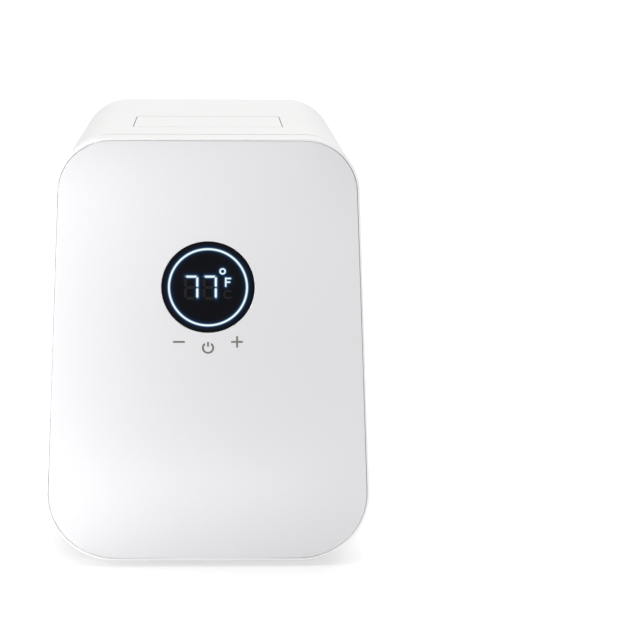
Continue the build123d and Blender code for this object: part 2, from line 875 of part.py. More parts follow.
def inner_grille():
    """Cover over the fan inside the cavity."""
    seat = cavity_back_y - cover_wall
    plate = slab(rounded_square(inner_fan_size, fan_corner), seat, cavity_back_y)
    slots = fan_slots(inner_fan_size / 2 - grille_margin, seat, cavity_back_y)
    for cut in slots + inner_fan_screws():
        plate -= cut
    return plate


def finned(size, y_tips, y_base, y_base_back):
    """Square heat sink: a base plate, with upright fins from its face to y_tips."""
    sink = square_block(size, y_base, y_base_back)
    y_range = (min(y_tips, y_base), max(y_tips, y_base_back))
    count = int((size - fin_wall) / fin_pitch) + 1
    for i in range(count):
        x = (i - (count - 1) / 2) * fin_pitch
        x_range = (x - fin_wall / 2, x + fin_wall / 2)
        sink += block(x_range, y_range, (fan_z - size / 2, fan_z + size / 2))
    for fastener in sink_screws():
        sink -= fastener
    return sink


def cold_sink():
    return finned(inner_fan_size, cold_fins_y, cold_base_y, spacer_y)


def hot_sink():
    return finned(hot_sink_size, outer_fan_y, hot_base_y, hot_base_y + hot_base)


def sink_screws():
    """Long screws between the cold sink's fins that clamp the two sinks on the cell."""
    reach = hot_base_y + hot_base - cold_base_y
    place = fins_to_screw * fin_pitch
    return [screw(i * place, fan_z + j * place, cold_base_y, reach) for i in (-1, 1) for j in (-1, 1)]


# Back


def cover_screws():
    """Screws round the edge of the back cover."""
    inset = (cover_inset + rear_flange) / 2
    places = [(side * half_width(z, inset), z) for side in (-1, 1) for z in cover_screw_heights]
    places += [(0, foot_height + inset), (0, height - inset)]
    seat = shell_back_y + cover_wall
    return [screw(x, z, seat, screw_length, towards_back=False) for x, z in places]


def vent_slots(centre_x, y_front, y_back):
    """A block of upright intake slots beside the fan's housing."""
    count = round(vent_width / grille_pitch)
    places = [centre_x + (i - (count - 1) / 2) * grille_pitch for i in range(count)]
    return [upright_slot(x, fan_z, vent_height, y_front, y_back) for x in places]


def back_cover():
    """Back plate with the outer fan's housing, its grille, the vents and the board's standoffs."""
    plate_back = shell_back_y + cover_wall
    cover = slab(body_outline(cover_inset), shell_back_y, plate_back)
    cover = fillet(cover.faces().sort_by(Axis.Y)[-1].edges(), cover_wall / 2)
    room = outer_fan_size + 2 * housing_clearance
    side = room + 2 * housing_wall
    housing = slab(rounded_square(side, fan_corner + housing_wall), shell_back_y, rear_y)
    cover += fillet(housing.faces().sort_by(Axis.Y)[-1].edges(), housing_wall / 2)
    cover -= slab(rounded_square(room, fan_corner), shell_back_y, outer_fan_back_y)
    for x, z in board_corners():
        cover += rod(standoff_radius, x, z, control_board_y + board_wall, shell_back_y)
    cuts = fan_slots(outer_fan_size / 2 - grille_margin, outer_fan_back_y, rear_y)
    vent_x = (side / 2 + half_width(fan_z, cover_inset)) / 2
    for x in (-vent_x, vent_x):
        cuts += vent_slots(x, shell_back_y, plate_back)
    cuts += cover_screws() + outer_fan_screws() + board_screws()
    cuts.append(rod(jack_radius, jack_x, jack_z, shell_back_y, plate_back))
    for cut in cuts:
        cover -= cut
    return cover


def power_jack():
    """Low-voltage inlet for a barrel plug, with a flange behind the cover."""
    front = shell_back_y - jack_length
    back = shell_back_y + cover_wall
    body = rod(jack_radius, jack_x, jack_z, front, back)
    body += rod(jack_radius + jack_flange, jack_x, jack_z, front, shell_back_y)
    body -= rod(jack_bore, jack_x, jack_z, back - jack_depth, back)
    return body + rod(jack_pin_radius, jack_x, jack_z, front, back - jack_flange)


def board_corners():
    """Places of the control board's standoffs."""
    half_x = control_board_width / 2 - standoff_radius
    half_z = control_board_height / 2 - standoff_radius
    x, z = control_board_x, control_board_z
    return [(x + i * half_x, z + j * half_z) for i in (-1, 1) for j in (-1, 1)]


def board_screws():
    """Screws that hold the control board to the cover's standoffs."""
    return [screw(x, z, control_board_y, screw_length) for x, z in board_corners()]


def control_board():
    """Main circuit board, parallel to the back."""
    shape = Pos(control_board_x, control_board_z) * Rectangle(control_board_width, control_board_height)
    board = slab(shape, control_board_y, control_board_y + board_wall)
    for fastener in board_screws():
        board -= fastener
    return board


def board_parts():
    """The larger components on the control board: a chip, a converter and two cans."""
    y = control_board_y
    quarter = control_board_width / 4
    side = control_board_height / 3
    middle = Pos(control_board_x, control_board_z)
    chip = slab(middle * Pos(-quarter, 0) * Rectangle(side, side), y - chip_height, y)
    converter = slab(middle * Pos(quarter, 0) * Rectangle(side, side), y - tall_part_height, y)
    cans = [
        rod(can_radius, control_board_x + x, control_board_z, y - tall_part_height, y)
        for x in (0, 3 * can_radius)
    ]
    return [chip, converter] + cans


# Cavity fittings


def jar_rack():
    """Wire rack that lifts the jar off the cavity's floor."""
    leg_length = rack_height - rack_wire
    level = cavity_floor + leg_length
    middle_y = (bezel_back_y + cavity_back_y) / 2
    half_x = rack_width / 2 - rack_wire
    half_y = rack_depth / 2 - rack_wire
    rack = Part()
    for i in (-1, 1):
        rack += Pos(i * half_x, middle_y, level) * Cylinder(rack_wire, 2 * half_y, rotation=(90, 0, 0))
        for j in (-1, 1):
            corner = Pos(i * half_x, middle_y + j * half_y, level)
            rack += corner * Sphere(rack_wire)
            rack += corner * Pos(0, 0, -leg_length / 2) * Cylinder(rack_wire, leg_length)
    for i in range(rack_wires):
        y = middle_y + half_y * (2 * i / (rack_wires - 1) - 1)
        rack += Pos(0, y, level) * Cylinder(rack_wire, 2 * half_x, rotation=(0, 90, 0))
    return rack


def temperature_sensor():
    """Probe with a round nose, on the cavity's back wall."""
    x = cavity_width / 2 - sensor_from_side
    z = cavity_floor + cavity_height - sensor_from_top
    body = rod(sensor_radius, x, z, cavity_back_y - sensor_length, cavity_back_y)
    body = fillet(body.faces().sort_by(Axis.Y)[0].edges(), 0.8 * sensor_radius)
    return body + rod(sensor_flange_radius, x, z, cavity_back_y - sensor_flange, cavity_back_y)


pieces = {
    "cabinet_shell": cabinet_shell(),
    "front_bezel": front_bezel(),
    "inner_liner": inner_liner(),
    "surround_insulation": surround_insulation(),
    "rear_insulation": rear_insulation(),
    "bulkhead": bulkhead(),
    "handle_tray": handle_tray(),
    "handle_pins": handle_pins(),
    "carry_handle": carry_handle(),
    "back_cover": back_cover(),
    "cover_screws": cover_screws(),
    "power_jack": power_jack(),
    "control_board": control_board(),
    "board_parts": board_parts(),
    "board_screws": board_screws(),
    "bracket_screws": bracket_screws(),
    "inner_grille": inner_grille(),
    "inner_fan_screws": inner_fan_screws(),
    "inner_fan_frame": fan_frame(inner_fan_size, inner_fan_depth, liner_back_y, inner_fan_screws()),
    "inner_fan_stator": fan_stator(inner_fan_depth, liner_back_y),
    "inner_fan_rotor": fan_rotor(inner_fan_size, inner_fan_depth, liner_back_y),
    "cold_sink": cold_sink(),
    "spacer_block": square_block(cell_size, spacer_y, cell_y),
    "thermoelectric_cell": square_block(cell_size, cell_y, hot_base_y),
    "hot_sink": hot_sink(),
    "sink_screws": sink_screws(),
    "outer_fan_frame": fan_frame(outer_fan_size, outer_fan_depth, outer_fan_y, outer_fan_screws()),
    "outer_fan_stator": fan_stator(outer_fan_depth, outer_fan_y),
    "outer_fan_rotor": fan_rotor(outer_fan_size, outer_fan_depth, outer_fan_y),
    "outer_fan_screws": outer_fan_screws(),
    "jar_rack": jar_rack(),
    "temperature_sensor": temperature_sensor(),
    "door_frame": door_frame(),
    "front_panel": front_panel(),
    "display_window": display_window(),
    "light_ring": light_ring(),
    "lit_segments": lit_segments(),
    "unlit_segments": unlit_segments(),
    "minus_symbol": minus_symbol(),
    "plus_symbol": plus_symbol(),
    "power_symbol": power_symbol(),
    "display_board": display_board(),
    "door_insulation": door_insulation(),
    "door_liner": door_liner(),
    "door_gasket": door_gasket(),
    "door_screws": door_screws(),
    "hinge_bushes": hinge_bushes(),
}
pieces |= feet()
for level, z in zip(("lower", "upper"), hinge_heights):
    pieces[f"hinge_bracket_{level}"] = hinge_plane(z) * hinge_bracket()
    pieces[f"hinge_pin_{level}"] = hinge_plane(z) * hinge_pin()
for level, z in zip(("lower", "upper"), magnet_heights):
    pieces[f"door_magnet_{level}"] = door_magnet(z)
    pieces[f"strike_plate_{level}"] = strike_plate(z)

os.makedirs("parts", exist_ok=True)
for name, piece in pieces.items():
    shapes = piece if isinstance(piece, list) else [piece]
    solids = [solid for shape in shapes for solid in shape.solids()]
    export_step(Compound(children=solids), f"parts/{name}.step")
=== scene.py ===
import json
from math import asin, cos, pi, radians, sin, sqrt, tan

import bmesh
import bpy
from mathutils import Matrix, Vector

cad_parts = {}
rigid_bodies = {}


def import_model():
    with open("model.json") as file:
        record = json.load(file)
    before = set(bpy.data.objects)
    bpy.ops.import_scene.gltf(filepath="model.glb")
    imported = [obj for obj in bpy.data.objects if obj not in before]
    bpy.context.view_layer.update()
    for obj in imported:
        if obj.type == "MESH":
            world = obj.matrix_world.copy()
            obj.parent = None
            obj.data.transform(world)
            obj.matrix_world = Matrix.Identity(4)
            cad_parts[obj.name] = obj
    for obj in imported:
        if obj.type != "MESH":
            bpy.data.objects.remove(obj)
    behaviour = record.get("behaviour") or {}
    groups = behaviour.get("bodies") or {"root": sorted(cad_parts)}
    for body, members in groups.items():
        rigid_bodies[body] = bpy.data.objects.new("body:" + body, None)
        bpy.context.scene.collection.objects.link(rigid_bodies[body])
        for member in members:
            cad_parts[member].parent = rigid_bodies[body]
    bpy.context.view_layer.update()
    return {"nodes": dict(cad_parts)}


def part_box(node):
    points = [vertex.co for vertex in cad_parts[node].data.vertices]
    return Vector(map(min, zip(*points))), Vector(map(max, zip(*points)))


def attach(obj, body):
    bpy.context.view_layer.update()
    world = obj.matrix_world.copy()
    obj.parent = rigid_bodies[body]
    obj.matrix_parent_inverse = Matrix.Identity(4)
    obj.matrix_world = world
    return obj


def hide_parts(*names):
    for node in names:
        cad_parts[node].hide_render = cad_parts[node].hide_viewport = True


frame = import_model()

bl_info = {
    "name": "Dough Starter Cabinet",
    "version": (1, 0, 0),
    "blender": (4, 5, 0),
    "location": "3D View > Sidebar > Proofer",
    "description": "Dresses a counter-top starter cabinet with modelled pieces and finishes",
    "category": "Object",
}

MM = 0.001
WHITE = (1.0, 1.0, 1.0)

# How far from a plane a point may lie and still count as on it
NEAR = 0.01 * MM

# How far the panel's and the window's faces stand behind those of the nodes
FACE_PLAY = 0.03 * MM

# The corners of the boxes that the new pieces are fitted to
SHELL_LOW, SHELL_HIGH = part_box("cabinet_shell")
DOOR_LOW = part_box("door_frame")[0]
PANEL_LOW, PANEL_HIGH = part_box("front_panel")
WINDOW_LOW, WINDOW_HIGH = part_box("display_window")

# The outline that the shell and the front panel share
SIDE_LEAN = radians(3.1)
TOP_RADIUS = 31 * MM
BOTTOM_RADIUS = 40.5 * MM
CORNER_STEPS = 24

# The handle's length from front to back, which its opening in the shell also takes
HANDLE_LENGTH = 54 * MM

# The finished material of each slot, filled in by the finishes step
FINISHES = {}


# Colours and socket values


def linear(*levels):
    """A colour from screen levels out of 255."""
    steps = [level / 255 for level in levels]
    return tuple(s / 12.92 if s <= 0.04045 else ((s + 0.055) / 1.055) ** 2.4 for s in steps)


def shaded(colour, amount):
    """The same colour, lighter or darker."""
    return tuple(min(1.0, channel * amount) for channel in colour[:3])


class Signal:
    """A node's output socket. Sums and products of signals add Math nodes."""

    def __init__(self, tree, socket):
        self.tree = tree
        self.socket = socket

    def math(self, operation, *terms):
        return self.tree.add("Math", {"operation": operation}, dict(enumerate(terms)))

    def __add__(self, other):
        return self.math("ADD", self, other)

    def __radd__(self, other):
        return self.math("ADD", other, self)

    def __sub__(self, other):
        return self.math("SUBTRACT", self, other)

    def __rsub__(self, other):
        return self.math("SUBTRACT", other, self)

    def __mul__(self, other):
        return self.math("MULTIPLY", self, other)

    def __rmul__(self, other):
        return self.math("MULTIPLY", other, self)

    def __truediv__(self, other):
        return self.math("DIVIDE", self, other)

    def __rtruediv__(self, other):
        return self.math("DIVIDE", other, self)

    def size(self):
        return self.math("ABSOLUTE", self)

    def root(self):
        return self.math("SQRT", self)

    def fraction(self):
        return self.math("FRACT", self)

    def fade(self, rate):
        """1 where the signal is nothing or less, and falling away above that."""
        steps = self.most(0.0) * -rate
        return steps.math("EXPONENT", steps)

    def least(self, other):
        return self.math("MINIMUM", self, other)

    def most(self, other):
        return self.math("MAXIMUM", self, other)

    def rise(self, start, end):
        """0 up to start, 1 from end, and a soft step between."""
        settings = {"interpolation_type": "SMOOTHSTEP"}
        return self.tree.add("MapRange", settings, {"Value": self, "From Min": start, "From Max": end})


class NodeTree:
    """The nodes of a material or a world."""

    def __init__(self, owner):
        owner.use_nodes = True
        self.nodes = owner.node_tree.nodes
        self.links = owner.node_tree.links

    def add(self, kind, settings=None, inputs=None, output=0):
        """Adds a node, first its settings and then its inputs, and gives one of its outputs."""
        node = self.nodes.new("ShaderNode" + kind)
        for name, value in (settings or {}).items():
            setattr(node, name, value)
        for name, value in (inputs or {}).items():
            self.feed(node.inputs[name], value)
        return Signal(self, node.outputs[output])

    def feed(self, socket, value):
        """Links a signal to a socket, or sets the socket's own value."""
        if isinstance(value, Signal):
            self.links.new(value.socket, socket)
        elif socket.type == "RGBA" and len(value) == 3:
            socket.default_value = (*value, 1.0)
        else:
            socket.default_value = value


class Finish(NodeTree):
    """A material made of nodes around one principled shader."""

    def __init__(self, name):
        self.material = bpy.data.materials.new(name)
        super().__init__(self.material)
        self.shader = self.nodes["Principled BSDF"]

    def set(self, **values):
        """Feeds the shader's sockets, written with underscores for spaces."""
        for name, value in values.items():
            self.feed(self.shader.inputs[name.replace("_", " ")], value)

    def place(self, centre=(0, 0, 0), stretch=(1, 1, 1)):
        """Object coordinates, moved and stretched to suit a pattern."""
        where = self.add("TexCoord", output=3)
        inputs = {"Vector": where, "Location": [-c * s for c, s in zip(centre, stretch)], "Scale": stretch}
        return self.add("Mapping", None, inputs)

    def axes(self, where):
        """The three coordinates of a place, in millimetres."""
        return [self.add("SeparateXYZ", None, {0: where}, output=axis) * 1000.0 for axis in range(3)]

    def noise(self, where, grain, detail=2.0, roughness=0.5):
        """Noise whose blobs are about a grain across, in metres."""
        inputs = {"Vector": where, "Scale": 1 / grain, "Detail": detail, "Roughness": roughness}
        return self.add("TexNoise", None, inputs)

    def mix(self, factor, dark, light):
        """A colour between two, by a factor."""
        inputs = {"Factor": factor, 6: dark, 7: light}
        return self.add("Mix", {"data_type": "RGBA"}, inputs, output=2)

    def bump(self, height, depth):
        """Surface relief of a depth in metres, from a height between 0 and 1."""
        return self.add("Bump", None, {"Height": height, "Distance": depth})


# Finishes


def moulded(name, colour, roughness, grain=0.45 * MM, depth=0.004 * MM, cloud=0.012, specular=0.5):
    """Injection-moulded plastic: fine spark texture, faint flow clouding and handling haze."""
    finish = Finish(name)
    where = finish.place()
    flow = finish.noise(where, 60 * MM, 3.0)
    haze = finish.noise(where, 18 * MM, 4.0, 0.6)
    spark = finish.noise(where, grain, 3.0, 0.6)
    tone = finish.mix(flow, shaded(colour, 1 - cloud), shaded(colour, 1 + cloud))
    finish.set(
        Base_Color=tone, Roughness=roughness - 0.03 + haze * 0.06, Specular_IOR_Level=specular,
        Normal=finish.bump(spark, depth),
    )
    return finish.material


def gloss_panel(name, colour):
    """Glossy lacquered panel with a very slight orange peel."""
    finish = Finish(name)
    where = finish.place()
    peel = finish.noise(where, 5 * MM, 2.0, 0.4)
    film = finish.noise(where, 35 * MM, 3.0)
    tone = finish.mix(film, shaded(colour, 0.995), shaded(colour, 1.005))
    finish.set(Base_Color=tone, Roughness=0.3 + film * 0.03, Normal=finish.bump(peel, 0.0012 * MM))
    return finish.material


def brushed(name, colour, roughness, along, grain=0.25 * MM, streak=40.0):
    """Metal with fine streaks along one axis."""
    finish = Finish(name)
    stretch = [1 / streak if axis == along else 1.0 for axis in range(3)]
    where = finish.place(stretch=stretch)
    lines = finish.noise(where, grain, 3.0, 0.65)
    smear = finish.noise(finish.place(), 12 * MM, 3.0)
    tone = finish.mix(lines, shaded(colour, 0.88), shaded(colour, 1.08))
    finish.set(
        Base_Color=tone, Metallic=1.0, Roughness=roughness - 0.06 + smear * 0.08 + lines * 0.06,
        Normal=finish.bump(lines, 0.004 * MM),
    )
    return finish.material


def rubber(name, colour, roughness=0.75):
    """Matt rubber with a fine blasted skin and a little dust."""
    finish = Finish(name)
    where = finish.place()
    skin = finish.noise(where, 0.5 * MM, 4.0, 0.7)
    dust = finish.noise(where, 7 * MM, 4.0, 0.7).rise(0.45, 0.75)
    tone = finish.mix(dust * 0.35, shaded(colour, 0.9), shaded(colour, 1.5))
    finish.set(
        Base_Color=tone, Roughness=roughness - 0.05 + skin * 0.1, Normal=finish.bump(skin, 0.012 * MM),
        Sheen_Weight=0.08, Sheen_Roughness=0.5,
    )
    return finish.material


def cellular_foam(name, colour):
    """Cut foam board with open cells."""
    finish = Finish(name)
    where = finish.place()
    cells = finish.add("TexVoronoi", {"feature": "F1"}, {"Vector": where, "Scale": 1 / (1.6 * MM)})
    beads = finish.noise(where, 9 * MM, 2.0)
    # The pits of the cells are darker: painted shade in the pits, on top of their bump
    tone = finish.mix(cells * 0.8, shaded(colour, 0.82), colour)
    finish.set(Base_Color=tone, Roughness=0.88 + beads * 0.08, Normal=finish.bump(cells, 0.12 * MM))
    return finish.material


def circuit_board(name):
    """Green solder mask over copper tracks, with tinned pads."""
    pitch = 5.08
    finish = Finish(name)
    where = finish.place()
    across, _, up = finish.axes(where)
    wander = finish.noise(where, 14 * MM, 1.0)
    tracks = ((across * 0.5 + wander * 5.0).fraction() - 0.5).size().rise(0.12, 0.2)
    grid_x = (across / pitch).fraction() - 0.5
    grid_z = (up / pitch).fraction() - 0.5
    pads = 1.0 - (grid_x * grid_x + grid_z * grid_z).root().rise(0.14, 0.17)
    mask = finish.mix(tracks, linear(16, 84, 48), linear(12, 62, 36))
    tone = finish.mix(pads, mask, linear(196, 190, 170))
    finish.set(
        Base_Color=tone, Metallic=pads * 0.8, Roughness=0.34 + tracks * 0.1 - pads * 0.06,
        Normal=finish.bump(tracks * 0.5 + pads * 0.5, 0.04 * MM),
    )
    return finish.material


def wound_copper(name):
    """Enamelled copper windings."""
    finish = Finish(name)
    where = finish.place()
    wave = {"wave_type": "BANDS", "bands_direction": "Y"}
    turns = finish.add("TexWave", wave, {"Vector": where, "Scale": 420.0, "Distortion": 1.2}, output=1)
    # Darker in the grooves between the turns, where the bump sinks: painted shade
    tone = finish.mix(turns, linear(96, 42, 18), linear(206, 120, 66))
    finish.set(
        Base_Color=tone, Metallic=0.85, Roughness=0.42 - turns * 0.12,
        Normal=finish.bump(turns, 0.08 * MM),
    )
    return finish.material


def ceramic(name, colour):
    """Fired alumina plate with faint speckle."""
    finish = Finish(name)
    where = finish.place()
    speck = finish.noise(where, 0.8 * MM, 3.0, 0.7).rise(0.62, 0.7)
    tone = finish.mix(speck, colour, shaded(colour, 0.72))
    finish.set(Base_Color=tone, Roughness=0.5 + speck * 0.1, Normal=finish.bump(speck, 0.01 * MM))
    return finish.material


# Display layout about the window's centre, in millimetres
RING_RADIUS = 22.0
RING_HALF = 0.75
DIGIT_CENTRES = (-9.4, 1.06)
DIGIT_STROKE = 1.7
DIGIT_HALF = DIGIT_STROKE / 2
DIGIT_SPREAD = 8.4 - DIGIT_STROKE
DIGIT_RISE = (14.2 - DIGIT_STROKE) / 2
SEGMENT_END = 0.6
DEGREE_PLACE = (8.2, 9.3)
DEGREE_RADIUS = 1.42
DEGREE_HALF = 0.57
LETTER_PLACE = (11.3, 3.1)
LETTER_REACH = 1.3
LETTER_MIDDLE_REACH = 0.8
LETTER_RISE = 2.3
LETTER_TOP = 2.1
LETTER_HALF = 0.6


def lit_bars():
    """Middle lines and half widths of the lit bars: two sevens and the letter."""
    bars = []
    for x in DIGIT_CENTRES:
        left, right = x - DIGIT_SPREAD / 2, x + DIGIT_SPREAD / 2
        bars.append(((left + SEGMENT_END, DIGIT_RISE), (right - SEGMENT_END, DIGIT_RISE), DIGIT_HALF))
        bars.append(((right, SEGMENT_END), (right, DIGIT_RISE - SEGMENT_END), DIGIT_HALF))
        bars.append(((right, SEGMENT_END - DIGIT_RISE), (right, -SEGMENT_END), DIGIT_HALF))
    x, z = LETTER_PLACE
    stem = x - LETTER_REACH
    bars.append(((stem, z - LETTER_RISE), (stem, z + LETTER_RISE), LETTER_HALF))
    bars.append(((stem, z + LETTER_TOP), (x + LETTER_REACH, z + LETTER_TOP), LETTER_HALF))
    bars.append(((stem, z), (x + LETTER_MIDDLE_REACH, z), LETTER_HALF))
    return bars


def bar_distance(across, up, start, end):
    """Distance from a point on the window to a level or upright bar."""
    length = max(abs(end[0] - start[0]), abs(end[1] - start[1]))
    if end[1] == start[1]:
        along, off = across - (start[0] + end[0]) / 2, up - start[1]
    else:
        along, off = up - (start[1] + end[1]) / 2, across - start[0]
    over = (along.size() - length / 2).most(0.0)
    return (over * over + off * off).root()


def lit_shapes(finish, middle):
    """Distances from the middle lines of the lit parts, each with its half width."""
    across, _, up = finish.axes(finish.place(middle))
    out = (across * across + up * up).root()
    ring_x, ring_z = across - DEGREE_PLACE[0], up - DEGREE_PLACE[1]
    degree = (ring_x * ring_x + ring_z * ring_z).root()
    shapes = [((out - RING_RADIUS).size(), RING_HALF), ((degree - DEGREE_RADIUS).size(), DEGREE_HALF)]
    for start, end, half in lit_bars():
        shapes.append((bar_distance(across, up, start, end), half))
    return shapes


def nearest(distances):
    """The least of several signals."""
    least = distances[0]
    for distance in distances[1:]:
        least = least.least(distance)
    return least


def lamp(name, colour, edge_colour, strength, middle):
    """Lit bars behind dark acrylic, white along the middle and blue at the edges."""
    finish = Finish(name)
    spread = nearest([distance * (1 / half) for distance, half in lit_shapes(finish, middle)])
    patch = finish.noise(finish.place(), 2.2 * MM, 2.0)
    core = finish.mix(patch, shaded(colour, 0.97), colour)
    finish.set(
        Base_Color=linear(14, 15, 19), Roughness=0.35, Specular_IOR_Level=0.03,
        Emission_Color=finish.mix(spread.rise(0.4, 1.0), core, edge_colour), Emission_Strength=strength,
    )
    return finish.material


def smoked_window(name, colour, halo_colour, haze_colour, middle):
    """Black acrylic with the light of the ring and the figures spreading in it."""
    finish = Finish(name)
    gap = nearest([distance - half for distance, half in lit_shapes(finish, middle)])
    dark = (0.0, 0.0, 0.0)
    halo = finish.mix(gap.fade(6.0), dark, halo_colour)
    haze = finish.mix(gap.fade(1.5), dark, haze_colour)
    both = {"Factor": 1.0, 6: halo, 7: haze}
    light = finish.add("Mix", {"data_type": "RGBA", "blend_type": "ADD"}, both, output=2)
    smudge = finish.noise(finish.place(), 16 * MM, 4.0, 0.6)
    finish.set(
        Base_Color=finish.mix(smudge, shaded(colour, 0.9), shaded(colour, 1.1)),
        Roughness=0.08 + smudge * 0.05, Specular_IOR_Level=0.03,
        Emission_Color=light, Emission_Strength=1.0,
    )
    return finish.material


def make_finishes(body, display):
    """One finished material for each of the record's slots."""
    middle = ((WINDOW_LOW.x + WINDOW_HIGH.x) / 2, 0, (WINDOW_LOW.z + WINDOW_HIGH.z) / 2)
    steel = linear(168, 168, 170)
    return {
        "shell_white": moulded("shell_white", body.shell_colour, 0.42),
        "tray_white": moulded("tray_white", shaded(body.shell_colour, 0.97), 0.5),
        # The front panel's colour carries painted shade of the front face
        "panel_white": gloss_panel("panel_white", body.panel_colour_with_shade),
        "liner_white": moulded("liner_white", body.liner_colour, 0.36, grain=0.6 * MM, depth=0.003 * MM),
        "cover_white": moulded("cover_white", shaded(body.shell_colour, 0.97), 0.52, depth=0.008 * MM),
        "window_black": smoked_window(
            "window_black", display.window_colour, display.halo_colour, display.haze_colour, middle
        ),
        "display_lit": lamp("display_lit", display.lit_colour, display.edge_colour, display.strength, middle),
        "display_unlit": moulded("display_unlit", linear(32, 32, 34), 0.5, cloud=0.04, specular=0.03),
        "symbol_taupe": moulded("symbol_taupe", body.symbol_colour, 0.45, cloud=0.03),
        "feet_rubber": rubber("feet_rubber", linear(78, 78, 80)),
        "gasket_rubber": rubber("gasket_rubber", linear(196, 196, 194), 0.6),
        "foam": cellular_foam("foam", linear(232, 230, 222)),
        "bulkhead_grey": moulded("bulkhead_grey", linear(128, 130, 132), 0.55, cloud=0.03),
        "fan_black": moulded("fan_black", linear(26, 26, 28), 0.48, cloud=0.05, depth=0.008 * MM),
        "stator_copper": wound_copper("stator_copper"),
        "sink_aluminium": brushed("sink_aluminium", linear(206, 208, 211), 0.36, along=2),
        "cell_ceramic": ceramic("cell_ceramic", linear(232, 230, 224)),
        "board_green": circuit_board("board_green"),
        "parts_black": moulded("parts_black", linear(30, 30, 32), 0.5, cloud=0.06),
        "screw_steel": brushed("screw_steel", steel, 0.34, along=1, streak=3.0),
        "pin_steel": brushed("pin_steel", linear(186, 187, 190), 0.3, along=2),
        "bracket_steel": brushed("bracket_steel", steel, 0.4, along=2, streak=12.0),
        "bush_brass": brushed("bush_brass", linear(214, 176, 96), 0.34, along=2, streak=6.0),
        "rack_chrome": brushed("rack_chrome", linear(226, 227, 229), 0.16, along=1, grain=0.8 * MM),
    }


# Modelling by hand, in code


def deselect():
    """Leaves edit mode and drops the selection."""
    if bpy.context.mode != "OBJECT":
        bpy.ops.object.mode_set(mode="OBJECT")
    bpy.ops.object.select_all(action="DESELECT")


def named(name):
    """Names the new object and puts its place into its mesh."""
    piece = bpy.context.active_object
    piece.name = name
    piece.data.name = name
    bpy.ops.object.transform_apply(location=True, rotation=True, scale=True)
    return piece


def new_box(name, low, high):
    """A box between two corners, ready to be shaped."""
    deselect()
    middle = [(a + b) / 2 for a, b in zip(low, high)]
    bpy.ops.mesh.primitive_cube_add(size=1, location=middle, scale=[b - a for a, b in zip(low, high)])
    return named(name)


def new_sheet(name, x_range, y, z_range):
    """An upright sheet that faces the front."""
    deselect()
    middle = ((x_range[0] + x_range[1]) / 2, y, (z_range[0] + z_range[1]) / 2)
    size = (x_range[1] - x_range[0], z_range[1] - z_range[0], 1)
    bpy.ops.mesh.primitive_plane_add(size=1, location=middle, rotation=(pi / 2, 0, 0))
    bpy.context.active_object.scale = size
    return named(name)


def new_rod(name, radius, start, end, steps, axis="Y"):
    """A round bar along an axis."""
    deselect()
    turn = {"X": (0, pi / 2, 0), "Y": (pi / 2, 0, 0), "Z": (0, 0, 0)}[axis]
    middle = [(a + b) / 2 for a, b in zip(start, end)]
    length = (Vector(end) - Vector(start)).length
    bpy.ops.mesh.primitive_cylinder_add(
        vertices=steps, radius=radius, depth=length, location=middle, rotation=turn
    )
    return named(name)


def select(piece, kind, test):
    """Selects the vertices, edges or faces of a piece whose middle passes a test."""
    if bpy.context.mode != "EDIT_MESH":
        deselect()
        piece.select_set(True)
        bpy.context.view_layer.objects.active = piece
        bpy.ops.object.mode_set(mode="EDIT")
    bpy.ops.mesh.select_mode(type=kind)
    bpy.ops.mesh.select_all(action="DESELECT")
    mesh = bmesh.from_edit_mesh(piece.data)
    if kind == "VERT":
        for vert in mesh.verts:
            vert.select_set(bool(test(vert.co)))
    elif kind == "EDGE":
        for edge in mesh.edges:
            start, end = edge.verts[0].co, edge.verts[1].co
            edge.select_set(bool(test((start + end) / 2, end - start)))
    else:
        for face in mesh.faces:
            face.select_set(bool(test(face.calc_center_median(), face.normal)))
    mesh.select_flush_mode()
    bmesh.update_edit_mesh(piece.data)


def select_all(piece, kind="FACE"):
    """Selects the whole of a piece."""
    select(piece, kind, lambda *place_and_way: True)


def round_off(radius, steps, affect="EDGES"):
    """Rounds the selected edges or corners."""
    bpy.ops.mesh.bevel(offset=radius, segments=steps, profile=0.5, affect=affect)


def push(way):
    """Extrudes the selected faces along a vector."""
    bpy.ops.mesh.extrude_region_move(TRANSFORM_OT_translate={"value": way})


def apply(piece, kind, **settings):
    """Adds a modifier and applies it."""
    deselect()
    piece.select_set(True)
    bpy.context.view_layer.objects.active = piece
    modifier = piece.modifiers.new(kind.title(), kind)
    for name, value in settings.items():
        setattr(modifier, name, value)
    bpy.ops.object.modifier_apply(modifier=modifier.name)


def close_up(piece):
    """Merges doubles and turns every face outwards."""
    select_all(piece, "VERT")
    bpy.ops.mesh.remove_doubles(threshold=0.002 * MM)
    bpy.ops.mesh.normals_make_consistent(inside=False)
    bpy.ops.object.mode_set(mode="OBJECT")


def smooth(piece, angle=35):
    """Smooth shading, with flat faces kept flat beside their rounded edges."""
    deselect()
    piece.select_set(True)
    bpy.context.view_layer.objects.active = piece
    bpy.ops.object.shade_smooth_by_angle(angle=radians(angle))
    apply(piece, "WEIGHTED_NORMAL", keep_sharp=True)


def ease(piece, width, steps=3, angle=40):
    """Rounds all sharp edges by the same small radius."""
    apply(
        piece, "BEVEL", width=width, segments=steps, limit_method="ANGLE", angle_limit=radians(angle),
        use_clamp_overlap=True, miter_outer="MITER_ARC",
    )


def placed(piece, body, slot, *nodes):
    """Gives a finished piece its material and its body, in place of its nodes."""
    piece.data.materials.clear()
    piece.data.materials.append(FINISHES[slot])
    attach(piece, body)
    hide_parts(*nodes)


# Outline shared by the shell and the front panel


def half_width(z, inset):
    """Half width between the leaning sides at a height, for an outline set in from the body's."""
    widest = SHELL_HIGH.x + BOTTOM_RADIUS * (1 / cos(SIDE_LEAN) - 1)
    return widest - (z - SHELL_LOW.z - BOTTOM_RADIUS) * tan(SIDE_LEAN) - inset / cos(SIDE_LEAN)


def run_to_tangent(radius, corner_angle):
    """How far along its sides a rounded corner starts."""
    return radius / tan(corner_angle / 2)


